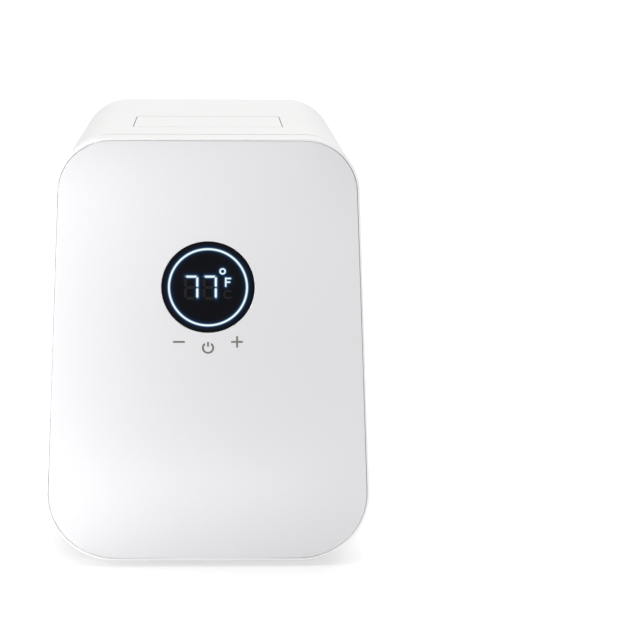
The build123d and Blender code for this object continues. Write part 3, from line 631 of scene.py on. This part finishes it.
def corner_runs(inset):
    """Bevel runs of the two lower and the two upper corners."""
    lower = run_to_tangent(BOTTOM_RADIUS - inset, pi / 2 - SIDE_LEAN)
    upper = run_to_tangent(TOP_RADIUS - inset, pi / 2 + SIDE_LEAN)
    return lower, upper


def taper(piece, low, high, inset):
    """Leans a box or sheet's sides in towards the top."""
    select(piece, "VERT", lambda place: place.z > (low + high) / 2)
    ratio = half_width(high, inset) / half_width(low, inset)
    bpy.ops.transform.resize(value=(ratio, 1, 1), center_override=(0, 0, high))


# Settings that a user would change


def colour_setting(name, description, default):
    return bpy.props.FloatVectorProperty(
        name=name, description=description, subtype="COLOR", size=3, min=0, max=1, default=default
    )


def length_setting(name, description, low, high, default):
    return bpy.props.FloatProperty(
        name=name, description=description, unit="LENGTH", min=low, max=high, default=default
    )


def angle_setting(name, description, limit, default):
    return bpy.props.FloatProperty(
        name=name, description=description, subtype="ANGLE", min=-limit, max=limit, default=default
    )


def power_setting(name, description, default):
    return bpy.props.FloatProperty(name=name, description=description, min=0, max=10, default=default)


class BodySettings(bpy.types.PropertyGroup):
    """Colours and softness of the body's pieces"""

    shell_colour: colour_setting("Shell", "Colour of the moulded shell and the handle", (0.785, 0.785, 0.78))
    # The panel's own glossy white, set darker than the shell's: the difference is painted shade of the front
    # face, which gets less light than the top
    panel_colour_with_shade: colour_setting("Front panel", "Colour of the glossy front panel", (0.652, 0.652, 0.667))
    liner_colour: colour_setting("Liner", "Colour of the cavity's liner", (0.74, 0.75, 0.75))
    symbol_colour: colour_setting("Touch symbols", "Colour of the printed symbols", linear(110, 107, 102))
    seam_softness: length_setting(
        "Seam softness", "Radius of the shell's edges at its seams", 0.1 * MM, 2 * MM, 0.6 * MM
    )
    back_radius: length_setting("Back radius", "Radius of the shell's back edge", 2 * MM, 15 * MM, 8 * MM)
    wall: length_setting("Shell wall", "Thickness of the shell", 1 * MM, 5 * MM, 2.5 * MM)
    rear_flange: length_setting(
        "Rear flange", "Width of the shell's turned-in back edge", 9 * MM, 30 * MM, 16 * MM
    )
    handle_softness: length_setting(
        "Handle softness", "Radius of the handle's edges", 0.2 * MM, 1.4 * MM, 0.7 * MM
    )


class DisplaySettings(bpy.types.PropertyGroup):
    """Colours of the round display"""

    window_colour: colour_setting("Window", "Colour of the dark window", (0.004, 0.0042, 0.006))
    lit_colour: colour_setting("Lit parts", "Light of the ring and the figures", (0.88, 1.0, 1.0))
    edge_colour: colour_setting("Lit edges", "Light at the edges of the lit parts", (0.02, 0.1, 0.25))
    halo_colour: colour_setting("Halo", "Light close round the lit parts", (0.06, 0.12, 0.2))
    haze_colour: colour_setting("Haze", "Wider light in the window", (0.0, 0.026, 0.08))
    strength: power_setting("Brightness", "Brightness of the lit parts", 1.0)


class StageSettings(bpy.types.PropertyGroup):
    """Camera and light of the stage"""

    distance: length_setting("Distance", "Camera ahead of the door's lip", 0.3, 3, 0.8827)
    camera_height: length_setting("Camera height", "Camera above the worktop", 0, 2, 0.3641)
    pitch: angle_setting("Pitch", "How far the camera looks down", pi / 2, radians(13.645))
    yaw: angle_setting("Yaw", "How far the camera looks to the right", 0.5, radians(1.25))
    roll: angle_setting("Roll", "How far the camera leans to the right", 0.5, radians(-0.31))
    lens: bpy.props.FloatProperty(
        name="Lens", description="Focal length in millimetres", min=20, max=200, default=90
    )
    shift: bpy.props.FloatProperty(
        name="Shift", description="Sideways lens shift", min=-0.2, max=0.2, default=0.1188
    )
    ambient: power_setting("Surrounding light", "Strength of the white surroundings", 0.5)
    sun: power_setting("Overhead light", "Strength of the wide light from above", 2.45)
    sun_tilt: angle_setting(
        "Overhead tilt", "How far the wide light comes from the front", pi / 2, radians(-12)
    )
    sun_turn: angle_setting(
        "Overhead turn", "How far that tilt is turned clockwise, seen from above", pi, radians(10)
    )
    side_light: power_setting("Side light", "Power of the large soft box on the left", 1.0)
    strip_light: power_setting("Strip light", "Power of the strip that rakes the panel from the left", 0.07)
    right_light: power_setting("Right light", "Power of the upright strip on the right", 0.012)
    fill_light: power_setting("Fill light", "Power of the low strip ahead of the door", 0.027)
    brow_light: power_setting("Brow light", "Power of the strip ahead of the door's top", 0.017)
    floor_glow: power_setting("Floor glow", "Light that comes up through the white floor", 0.37)


# Steps, one for the stage, one for the finishes and one for each piece


class PROOFER_OT_stage(bpy.types.Operator):
    """Aim the camera, lay the floor and hang the lights"""

    bl_idname = "proofer.stage"
    bl_label = "Stage"

    def execute(self, context):
        stage = context.scene.proofer_stage
        self.aim_camera(context.scene, stage)
        self.lay_floor(stage.floor_glow)
        self.surround(context.scene, stage.ambient)
        self.hang_sun(stage)
        self.hang_soft_boxes(stage)
        context.scene.view_settings.view_transform = "Standard"
        return {"FINISHED"}

    def aim_camera(self, scene, stage):
        deselect()
        place = (0, DOOR_LOW.y - stage.distance, stage.camera_height)
        bpy.ops.object.camera_add(location=place, rotation=(pi / 2 - stage.pitch, stage.roll, -stage.yaw))
        camera = bpy.context.active_object
        camera.name = "camera"
        camera.data.lens = stage.lens
        camera.data.sensor_width = 36
        camera.data.shift_x = stage.shift
        camera.data.clip_end = 100
        scene.camera = camera

    def lay_floor(self, glow):
        deselect()
        bpy.ops.mesh.primitive_plane_add(size=60)
        floor = bpy.context.active_object
        floor.name = "floor"
        paint = Finish("floor_white")
        dapple = paint.noise(paint.place(), 0.4, 2.0)
        tone = paint.mix(dapple, (0.615, 0.615, 0.615), (0.625, 0.625, 0.625))
        paint.set(Base_Color=tone, Roughness=0.95, Specular_IOR_Level=0.0)
        paint.set(Emission_Color=WHITE, Emission_Strength=glow)
        floor.data.materials.append(paint.material)

    def surround(self, scene, strength):
        """White surroundings that light the scene softly, and are seen as plain white."""
        scene.world = bpy.data.worlds.new("studio")
        studio = NodeTree(scene.world)
        light = studio.add("Background", None, {"Color": WHITE, "Strength": strength})
        backdrop = studio.add("Background", None, {"Color": WHITE, "Strength": 1.0})
        seen = studio.add("LightPath")
        blend = studio.add("MixShader", None, {0: seen, 1: light, 2: backdrop})
        studio.feed(studio.nodes["World Output"].inputs["Surface"], blend)

    def hang_sun(self, stage):
        deselect()
        bpy.ops.object.light_add(type="SUN", rotation=(stage.sun_tilt, 0, -stage.sun_turn))
        sun = bpy.context.active_object
        sun.name = "overhead_light"
        sun.data.energy = stage.sun
        sun.data.angle = radians(75)

    def hang_soft_boxes(self, stage):
        """Area lights, each with its place, the place it aims at, its size, power and spread."""
        lip = DOOR_LOW.y
        wide = (0.18, 0.02)
        soft_boxes = {
            "side_light": ((-0.95, -0.75, 0.35), (0, lip, 0.13), (0.5, 0.9), stage.side_light, 180),
            "strip_light": (
                (-0.175, lip - 0.022, 0.125), (0, lip, 0.125), (0.02, 0.25), stage.strip_light, 40
            ),
            "fill_light": ((-0.02, lip - 0.11, 0.012), (-0.02, lip, 0.01), wide, stage.fill_light, 180),
            "brow_light": ((-0.02, lip - 0.08, 0.24), (-0.02, lip, 0.22), wide, stage.brow_light, 180),
            "right_light": ((0.3, lip - 0.1, 0.12), (0.1, lip, 0.12), (0.05, 0.22), stage.right_light, 30),
        }
        for name, (place, target, size, power, spread) in soft_boxes.items():
            deselect()
            aim = (Vector(place) - Vector(target)).to_track_quat("Z", "Y").to_euler()
            bpy.ops.object.light_add(type="AREA", location=place, rotation=aim)
            box = bpy.context.active_object
            box.name = name
            box.visible_camera = False
            box.data.shape = "RECTANGLE"
            box.data.size, box.data.size_y = size
            box.data.energy = power
            box.data.spread = radians(spread)


class PROOFER_OT_front_panel(bpy.types.Operator):
    """Model the crowned front panel with its round opening"""

    bl_idname = "proofer.front_panel"
    bl_label = "Front panel"

    wall = 1.3 * MM
    side_drop = 1.58 * MM
    end_drop = 1.54 * MM
    top_reach = 0.2 * MM
    ring_play = 0.1 * MM

    def execute(self, context):
        panel = self.outline()
        self.open_round(panel)
        self.crown(panel)
        select_all(panel)
        bpy.ops.mesh.normals_make_consistent(inside=False)
        bpy.ops.object.mode_set(mode="OBJECT")
        if sum(face.normal.y * face.area for face in panel.data.polygons) > 0:
            select_all(panel)
            bpy.ops.mesh.flip_normals()
        apply(panel, "SOLIDIFY", thickness=self.wall, offset=-1)
        close_up(panel)
        ease(panel, 0.2 * MM, 3, 50)
        smooth(panel, 50)
        placed(panel, "door", "panel_white", "front_panel")
        return {"FINISHED"}

    def outline(self):
        """A sheet with the door's outline, a little taller so that its top gap is narrow."""
        low, high = PANEL_LOW.z, PANEL_HIGH.z + self.top_reach
        inset = low - SHELL_LOW.z
        half = half_width(low, inset)
        middle = (low + high) / 2
        panel = new_sheet("panel_face", (-half, half), PANEL_LOW.y, (low, high))
        taper(panel, low, high, inset)
        lower, upper = corner_runs(inset)
        for run, side in ((lower, -1), (upper, 1)):
            select(panel, "VERT", lambda place: side * (place.z - middle) > (high - low) / 3)
            round_off(run, CORNER_STEPS, "VERTICES")
        select_all(panel)
        bpy.ops.mesh.delete(type="ONLY_FACE")
        return panel

    def open_round(self, panel):
        """Fills the outline with rings of faces about the display's opening."""
        centre = (WINDOW_LOW.z + WINDOW_HIGH.z) / 2
        radius = (WINDOW_HIGH.x - WINDOW_LOW.x) / 2 + self.ring_play
        select(panel, "EDGE", lambda place, way: way.length > 50 * MM)
        bpy.ops.mesh.subdivide(number_cuts=19)
        count = len(bmesh.from_edit_mesh(panel.data).verts)
        bpy.ops.mesh.select_all(action="DESELECT")
        bpy.ops.mesh.primitive_circle_add(
            vertices=count, radius=radius, location=(0, PANEL_LOW.y, centre), rotation=(pi / 2, 0, 0)
        )
        select_all(panel, "EDGE")
        bpy.ops.mesh.bridge_edge_loops(number_cuts=23, interpolation="LINEAR")
        bpy.ops.object.mode_set(mode="OBJECT")

    def crown(self, panel):
        """Lets the face fall back from its middle to its edges on two large arcs."""
        front = PANEL_LOW.y + FACE_PLAY
        across = self.arc_radius(SHELL_HIGH.x, self.side_drop)
        upward = self.arc_radius(SHELL_HIGH.z / 2, self.end_drop)
        middle = (SHELL_LOW.z + SHELL_HIGH.z) / 2
        for vert in panel.data.vertices:
            fall = across - sqrt(across**2 - vert.co.x**2)
            rise = vert.co.z - middle
            vert.co.y = front + upward - sqrt((upward - fall) ** 2 - rise**2)

    def arc_radius(self, half, drop):
        return (half**2 + drop**2) / (2 * drop)


class PROOFER_OT_display(bpy.types.Operator):
    """Model the dark window behind the ring and the figures"""

    bl_idname = "proofer.display"
    bl_label = "Display window"

    thickness = 1.4 * MM
    rim = 1.6 * MM
    rim_round = 0.35 * MM

    def execute(self, context):
        radius = (WINDOW_HIGH.x - WINDOW_LOW.x) / 2
        centre = (WINDOW_LOW.z + WINDOW_HIGH.z) / 2
        front = WINDOW_LOW.y + FACE_PLAY
        back = front + self.thickness
        glass = new_rod("display_glass", radius, (0, front, centre), (0, back, centre), 160)
        select(glass, "FACE", lambda place, normal: normal.y < -0.9)
        bpy.ops.mesh.inset(thickness=self.rim, depth=0)
        select(glass, "EDGE", lambda place, way: self.on_rim(place, radius, front, centre))
        round_off(self.rim_round, 4)
        close_up(glass)
        smooth(glass, 40)
        placed(glass, "door", "window_black", "display_window")
        return {"FINISHED"}

    def on_rim(self, place, radius, front, centre):
        out = sqrt(place.x**2 + (place.z - centre) ** 2)
        return out > radius - 0.5 * MM and abs(place.y - front) < NEAR


class PROOFER_OT_symbols(bpy.types.Operator):
    """Print the touch symbols on the panel"""

    bl_idname = "proofer.symbols"
    bl_label = "Touch symbols"

    stroke = 1.15 * MM
    film = 0.2 * MM
    power_radius = 3.5 * MM
    stem_length = 2.8 * MM

    def execute(self, context):
        self.bar("minus_mark", "minus_symbol")
        self.bar("plus_mark", "plus_symbol")
        self.power_ring()
        return {"FINISHED"}

    def bar(self, name, node):
        """A level bar, with a pair of arms drawn out of it where the symbol is a plus."""
        low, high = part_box(node)
        half = self.stroke / 2
        middle = (low + high) / 2
        mark = new_box(
            name, (low.x, low.y, middle.z - half), (high.x, low.y + self.film, middle.z + half)
        )
        if high.z - low.z > 2 * self.stroke:
            for side in (-1, 1):
                select_all(mark)
                bpy.ops.mesh.bisect(plane_co=(middle.x + side * half, 0, 0), plane_no=(1, 0, 0))
            for side in (-1, 1):
                select(
                    mark, "FACE",
                    lambda place, normal: side * normal.z > 0.9 and abs(place.x - middle.x) < half / 2,
                )
                push((0, 0, side * (high.z - low.z - self.stroke) / 2))
        close_up(mark)
        self.finish(mark, node)

    def power_ring(self):
        """A ring with a gap at the top, and the stem in it."""
        low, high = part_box("power_symbol")
        radius, half = self.power_radius, self.stroke / 2
        centre = Vector(((low.x + high.x) / 2, low.y, low.z + radius))
        gap = asin(3 * half / (radius - half))
        way = Vector((sin(gap), 0, cos(gap)))
        inner, outer = (centre + way * reach for reach in (radius - 2 * half, radius))
        back = Vector((0, self.film, 0))
        deselect()
        bpy.ops.mesh.primitive_plane_add(size=1 * MM)
        ring = named("power_mark")
        select_all(ring)
        mesh = bmesh.from_edit_mesh(ring.data)
        corners = (outer, inner, inner + back, outer + back)
        for corner, place in zip(mesh.faces[:][0].verts, corners):
            corner.co = place
        bmesh.update_edit_mesh(ring.data)
        bpy.ops.mesh.spin(steps=48, angle=2 * gap - 2 * pi, center=centre, axis=(0, 1, 0))
        close_up(ring)
        top = centre.z + radius
        stem = new_box(
            "power_stem", (centre.x - half, low.y, top - self.stem_length),
            (centre.x + half, low.y + self.film, top),
        )
        close_up(stem)
        ring.select_set(True)
        bpy.context.view_layer.objects.active = ring
        bpy.ops.object.join()
        self.finish(ring, "power_symbol")

    def finish(self, mark, node):
        ease(mark, 0.04 * MM, 2)
        smooth(mark)
        placed(mark, "door", "symbol_taupe", node)


class PROOFER_OT_shell(bpy.types.Operator):
    """Model the one-piece shell, with the handle's opening in its top"""

    bl_idname = "proofer.shell"
    bl_label = "Outer shell"

    end_gap = 0.5 * MM
    swing_gap = 1.0 * MM
    opening_corner = 1.2 * MM

    def execute(self, context):
        body = context.scene.proofer_body
        shell = self.block()
        select(shell, "FACE", lambda place, normal: normal.y > 0.9)
        bpy.ops.mesh.region_to_loop()
        round_off(body.back_radius, 10)
        select(shell, "FACE", lambda place, normal: normal.y > 0.99999)
        bpy.ops.mesh.inset(thickness=body.rear_flange - body.back_radius, depth=0)
        bpy.ops.mesh.delete(type="FACE")
        select(shell, "FACE", lambda place, normal: normal.y < -0.9)
        bpy.ops.mesh.delete(type="FACE")
        self.cut_opening(shell)
        apply(shell, "SOLIDIFY", thickness=body.wall, offset=-1, use_even_offset=True)
        close_up(shell)
        ease(shell, body.seam_softness, 3, 50)
        smooth(shell, 40)
        placed(shell, "cabinet", "shell_white", "cabinet_shell")
        return {"FINISHED"}

    def block(self):
        """A solid with the body's whole outline."""
        low, high = SHELL_LOW.z, SHELL_HIGH.z
        half = half_width(low, 0.0)
        middle = (low + high) / 2
        shell = new_box("outer_shell", (-half, SHELL_LOW.y, low), (half, SHELL_HIGH.y, high))
        taper(shell, low, high, 0.0)
        lower, upper = corner_runs(0.0)
        for run, side in ((lower, -1), (upper, 1)):
            select(
                shell, "EDGE",
                lambda place, way: abs(way.y) > 0.9 * way.length and side * (place.z - middle) > 0,
            )
            round_off(run, CORNER_STEPS)
        return shell

    def cut_opening(self, shell):
        """Opens the top face round the handle, with room for its edges to swing."""
        low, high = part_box("carry_handle")
        low_x, high_x = low.x - self.end_gap, high.x + self.end_gap
        low_y, high_y = low.y - self.swing_gap, low.y + HANDLE_LENGTH + self.swing_gap
        for cut in (low_x, high_x):
            self.bisect_top(shell, (cut, 0, 0), (1, 0, 0))
        for cut in (low_y, high_y):
            self.bisect_top(shell, (0, cut, 0), (0, 1, 0))
        select(
            shell, "FACE",
            lambda place, normal: self.on_top(place)
            and low_x < place.x < high_x and low_y < place.y < high_y,
        )
        bpy.ops.mesh.delete(type="FACE")
        select(
            shell, "VERT",
            lambda place: self.on_top(place)
            and low_x - NEAR < place.x < high_x + NEAR and low_y - NEAR < place.y < high_y + NEAR,
        )
        round_off(self.opening_corner, 4, "VERTICES")

    def bisect_top(self, shell, place, way):
        """Cuts the top face along a plane."""
        select(shell, "FACE", lambda spot, normal: normal.z > 0.999 and self.on_top(spot))
        bpy.ops.mesh.bisect(plane_co=place, plane_no=way)

    def on_top(self, place):
        return place.z > SHELL_HIGH.z - NEAR


class PROOFER_OT_handle(bpy.types.Operator):
    """Model the flush carry handle, with its grip and pivot bosses"""

    bl_idname = "proofer.handle"
    bl_label = "Carry handle"

    plate = 3 * MM
    grip_width = 7 * MM
    grip_depth = 9 * MM
    grip_round = 3.4 * MM
    tail_depth = 2 * MM
    tail_reach = 7 * MM
    boss_depth = 5 * MM
    boss_half = 5 * MM
    boss_round = 4.9 * MM
    pivot_setback = 9 * MM
    back_play = 0.1 * MM

    def execute(self, context):
        body = context.scene.proofer_body
        low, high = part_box("carry_handle")
        front, tail = low.y, low.y + HANDLE_LENGTH
        pivot = tail - self.pivot_setback
        grip_back, tail_front = front + self.grip_width, pivot - self.tail_reach
        boss_front, boss_back = pivot - self.boss_half, pivot + self.boss_half
        handle = new_box(
            "lift_handle", (low.x, front, high.z - self.plate), (high.x, tail - self.back_play, high.z)
        )
        for cut in (grip_back, tail_front, boss_front, boss_back):
            select_all(handle)
            bpy.ops.mesh.bisect(plane_co=(0, cut, 0), plane_no=(0, 1, 0))
        self.lower(handle, front, grip_back, self.grip_depth)
        self.lower(handle, tail_front, tail, self.tail_depth)
        self.lower(handle, boss_front, boss_back, self.boss_depth)
        self.round_under(handle, front, grip_back, self.grip_round, low.z)
        boss_bottom = high.z - self.plate - self.tail_depth - self.boss_depth
        self.round_under(handle, boss_front, boss_back, self.boss_round, boss_bottom)
        close_up(handle)
        ease(handle, body.handle_softness, 4, 40)
        smooth(handle, 40)
        placed(handle, "handle", "shell_white", "carry_handle")
        return {"FINISHED"}

    def lower(self, handle, start, end, drop):
        """Pulls the underside down between two stations."""
        select(handle, "FACE", lambda place, normal: normal.z < -0.9 and start < place.y < end)
        push((0, 0, -drop))

    def round_under(self, handle, start, end, radius, bottom):
        """Rounds the two long lower edges of a rib."""
        play = 0.1 * MM
        select(
            handle, "EDGE",
            lambda place, way: abs(way.x) > 0.9 * way.length and abs(place.z - bottom) < play
            and start - play < place.y < end + play,
        )
        round_off(radius, 8)


class PROOFER_OT_finger_well(bpy.types.Operator):
    """Model the moulded well under the handle"""

    bl_idname = "proofer.finger_well"
    bl_label = "Finger well"

    flange = 4 * MM
    wall = 1.6 * MM
    corner = 2.5 * MM
    bottom_round = 2 * MM

    def execute(self, context):
        low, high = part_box("handle_tray")
        inner_low = (low.x + self.flange, low.y + self.flange, low.z + self.wall)
        inner_high = (high.x - self.flange, high.y - self.flange, high.z)
        well = new_box("finger_well", inner_low, inner_high)
        select(well, "EDGE", lambda place, way: abs(way.z) > 0.9 * way.length)
        round_off(self.corner, 6)
        select(well, "FACE", lambda place, normal: normal.z < -0.9)
        bpy.ops.mesh.region_to_loop()
        round_off(self.bottom_round, 5)
        select(well, "FACE", lambda place, normal: normal.z > 0.9)
        bpy.ops.mesh.delete(type="ONLY_FACE")
        self.draw_flange(well, low, high)
        select_all(well)
        bpy.ops.mesh.flip_normals()
        apply(well, "SOLIDIFY", thickness=self.wall, offset=-1, use_even_offset=True)
        close_up(well)
        smooth(well, 40)
        placed(well, "cabinet", "tray_white", "handle_tray")
        return {"FINISHED"}

    def draw_flange(self, well, low, high):
        """Extrudes the rim and spreads it outwards."""
        select(well, "EDGE", lambda place, way: place.z > high.z - NEAR)
        bpy.ops.mesh.extrude_edges_move(TRANSFORM_OT_translate={"value": (0, 0, 0)})
        middle, outer = (low + high) / 2, high - low
        spread = [outer[axis] / (outer[axis] - 2 * self.flange) for axis in (0, 1)]
        bpy.ops.transform.resize(value=(*spread, 1), center_override=(middle.x, middle.y, high.z))


class PROOFER_OT_feet(bpy.types.Operator):
    """Model one rubber foot with its fixing recess, and copy it to the four corners"""

    bl_idname = "proofer.feet"
    bl_label = "Rubber feet"

    edge_round = 0.9 * MM

    def execute(self, context):
        nodes = ("foot_front_left", "foot_front_right", "foot_back_left", "foot_back_right")
        low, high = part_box(nodes[0])
        foot = self.foot(low, high)
        for number, node in enumerate(nodes[1:], 2):
            deselect()
            foot.select_set(True)
            context.view_layer.objects.active = foot
            bpy.ops.object.duplicate()
            copy = context.active_object
            copy.name = copy.data.name = f"foot_pad_{number}"
            bpy.ops.transform.translate(value=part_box(node)[0] - low)
            bpy.ops.object.transform_apply(location=True, rotation=True, scale=True)
        for number, node in enumerate(nodes, 1):
            placed(bpy.data.objects[f"foot_pad_{number}"], "cabinet", "feet_rubber", node)
        return {"FINISHED"}

    def foot(self, low, high):
        """A round pad with two steps inwards and up, for its screw."""
        middle = (low + high) / 2
        radius = (high.x - low.x) / 2
        bottom, top = (*middle.xy, low.z), (*middle.xy, high.z)
        foot = new_rod("foot_pad_1", radius, bottom, top, 72, "Z")
        select(foot, "FACE", lambda place, normal: normal.z < -0.9)
        for reach, depth in ((2.6, 0), (0.5, 0.6), (1.8, 0), (0.2, 1.4)):
            bpy.ops.mesh.inset(thickness=reach * MM, depth=-depth * MM)
        select(
            foot, "EDGE",
            lambda place, way: abs(place.z - low.z) < NEAR
            and (place.xy - middle.xy).length > radius - 0.2 * MM,
        )
        round_off(self.edge_round, 5)
        close_up(foot)
        ease(foot, 0.15 * MM, 2, 40)
        smooth(foot, 40)
        return foot


class PROOFER_OT_seal(bpy.types.Operator):
    """Model the soft seal round the door's plug"""

    bl_idname = "proofer.seal"
    bl_label = "Door seal"

    width = 5 * MM
    corner = 19 * MM
    lip_round = 2.2 * MM

    def execute(self, context):
        low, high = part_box("door_gasket")
        seal = new_sheet("door_seal", (low.x, high.x), high.y, (low.z, high.z))
        select_all(seal, "VERT")
        round_off(self.corner, 14, "VERTICES")
        select_all(seal)
        bpy.ops.mesh.inset(thickness=self.width, depth=0)
        bpy.ops.mesh.delete(type="FACE")
        select_all(seal)
        push((0, low.y - high.y, 0))
        close_up(seal)
        # The edges along the band, and not those across it
        select(
            seal, "EDGE",
            lambda place, way: abs(place.y - high.y) < NEAR
            and not 0.8 * self.width < way.length < 2 * self.width,
        )
        round_off(self.lip_round, 6)
        close_up(seal)
        smooth(seal, 40)
        placed(seal, "door", "gasket_rubber", "door_gasket")
        return {"FINISHED"}


class PROOFER_OT_rack(bpy.types.Operator):
    """Bend the wire rack that keeps the jar off the floor"""

    bl_idname = "proofer.rack"
    bl_label = "Jar rack"

    frame_radius = 1.5 * MM
    wire_radius = 1.1 * MM
    weld = 0.7 * MM
    wires = 9
    wire_margin = 6 * MM
    frame_corner = 10 * MM
    leg_setback = 16 * MM
    leg_bend = 4 * MM

    def execute(self, context):
        low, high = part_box("jar_rack")
        thick, thin = self.frame_radius, self.wire_radius
        rail_z = high.z - 2 * thin - thick + self.weld
        pieces = [self.frame(low, high, rail_z)]
        first = low.y + thick + self.wire_margin
        run = high.y - low.y - 2 * (thick + self.wire_margin)
        for index in range(self.wires):
            y, z = first + run * index / (self.wires - 1), high.z - thin
            wire = new_rod("wire", thin, (low.x + thick / 2, y, z), (high.x - thick / 2, y, z), 16, "X")
            ease(wire, 0.3 * MM, 2, 60)
            pieces.append(wire)
        for side in (low.x + thick, high.x - thick):
            pieces.append(self.leg(side, low, high, rail_z))
        deselect()
        for piece in pieces:
            piece.select_set(True)
        context.view_layer.objects.active = pieces[0]
        bpy.ops.object.join()
        rack = context.active_object
        smooth(rack, 40)
        placed(rack, "cabinet", "rack_chrome", "jar_rack")
        return {"FINISHED"}

    def frame(self, low, high, z):
        """The rounded loop that the cross wires are welded to."""
        deselect()
        middle = (low + high) / 2
        bpy.ops.mesh.primitive_plane_add(size=1, location=(middle.x, middle.y, z))
        across, along = (high[axis] - low[axis] - 2 * self.frame_radius for axis in (0, 1))
        bpy.context.active_object.scale = (across, along, 1)
        loop = named("wire_rack")
        select_all(loop, "VERT")
        round_off(self.frame_corner, 8, "VERTICES")
        select_all(loop)
        bpy.ops.mesh.delete(type="ONLY_FACE")
        return self.wire_from("wire_rack")

    def leg(self, x, low, high, z):
        """A wire foot bent down and along under one side."""
        deselect()
        bottom = low.z + self.frame_radius
        place = (x, (low.y + high.y) / 2, (z + bottom) / 2)
        bpy.ops.mesh.primitive_plane_add(size=1, location=place, rotation=(0, pi / 2, 0))
        bpy.context.active_object.scale = (z - bottom, high.y - low.y - 2 * self.leg_setback, 1)
        foot = named("rack_foot")
        select_all(foot)
        bpy.ops.mesh.delete(type="ONLY_FACE")
        select(foot, "EDGE", lambda place, way: abs(place.z - z) < NEAR)
        bpy.ops.mesh.delete(type="EDGE")
        select(foot, "VERT", lambda place: abs(place.z - bottom) < NEAR)
        round_off(self.leg_bend, 6, "VERTICES")
        return self.wire_from("rack_foot")

    def wire_from(self, name):
        """Turns the active outline into round wire."""
        bpy.ops.object.mode_set(mode="OBJECT")
        bpy.ops.object.convert(target="CURVE")
        curve = bpy.context.active_object.data
        curve.bevel_depth = self.frame_radius
        curve.bevel_resolution = 4
        curve.use_fill_caps = True
        bpy.ops.object.convert(target="MESH")
        piece = bpy.context.active_object
        piece.name = piece.data.name = name
        close_up(piece)
        return piece


class PROOFER_OT_finishes(bpy.types.Operator):
    """Make the finishes and dress the carried-over nodes in them"""

    bl_idname = "proofer.finishes"
    bl_label = "Finishes"

    def execute(self, context):
        worn = [
            (holder, holder.material.name)
            for node in frame["nodes"].values()
            for holder in node.material_slots
        ]
        for slot in sorted({slot for _, slot in worn}):
            bpy.data.materials.remove(bpy.data.materials[slot])
        FINISHES.update(make_finishes(context.scene.proofer_body, context.scene.proofer_display))
        for holder, slot in worn:
            holder.material = FINISHES[slot]
        return {"FINISHED"}


class PROOFER_PT_panel(bpy.types.Panel):
    """Steps that dress the cabinet"""

    bl_label = "Dough starter cabinet"
    bl_idname = "PROOFER_PT_panel"
    bl_space_type = "VIEW_3D"
    bl_region_type = "UI"
    bl_category = "Proofer"

    def draw(self, context):
        scene = context.scene
        for settings in (scene.proofer_stage, scene.proofer_body, scene.proofer_display):
            box = self.layout.box()
            for name in settings.__annotations__:
                box.prop(settings, name)
        for step in STEPS:
            self.layout.operator(step.bl_idname)


STEPS = (
    PROOFER_OT_stage,
    PROOFER_OT_finishes,
    PROOFER_OT_shell,
    PROOFER_OT_front_panel,
    PROOFER_OT_display,
    PROOFER_OT_symbols,
    PROOFER_OT_handle,
    PROOFER_OT_finger_well,
    PROOFER_OT_feet,
    PROOFER_OT_seal,
    PROOFER_OT_rack,
)
CLASSES = (BodySettings, DisplaySettings, StageSettings) + STEPS + (PROOFER_PT_panel,)


def register():
    for one in CLASSES:
        bpy.utils.register_class(one)
    bpy.types.Scene.proofer_body = bpy.props.PointerProperty(type=BodySettings)
    bpy.types.Scene.proofer_display = bpy.props.PointerProperty(type=DisplaySettings)
    bpy.types.Scene.proofer_stage = bpy.props.PointerProperty(type=StageSettings)


def unregister():
    del bpy.types.Scene.proofer_stage
    del bpy.types.Scene.proofer_display
    del bpy.types.Scene.proofer_body
    for one in reversed(CLASSES):
        bpy.utils.unregister_class(one)


def main():
    """Runs every step in order."""
    register()
    for step in STEPS:
        getattr(bpy.ops.proofer, step.bl_idname.split(".")[1])()
    deselect()


if __name__ == "__main__":
    main()
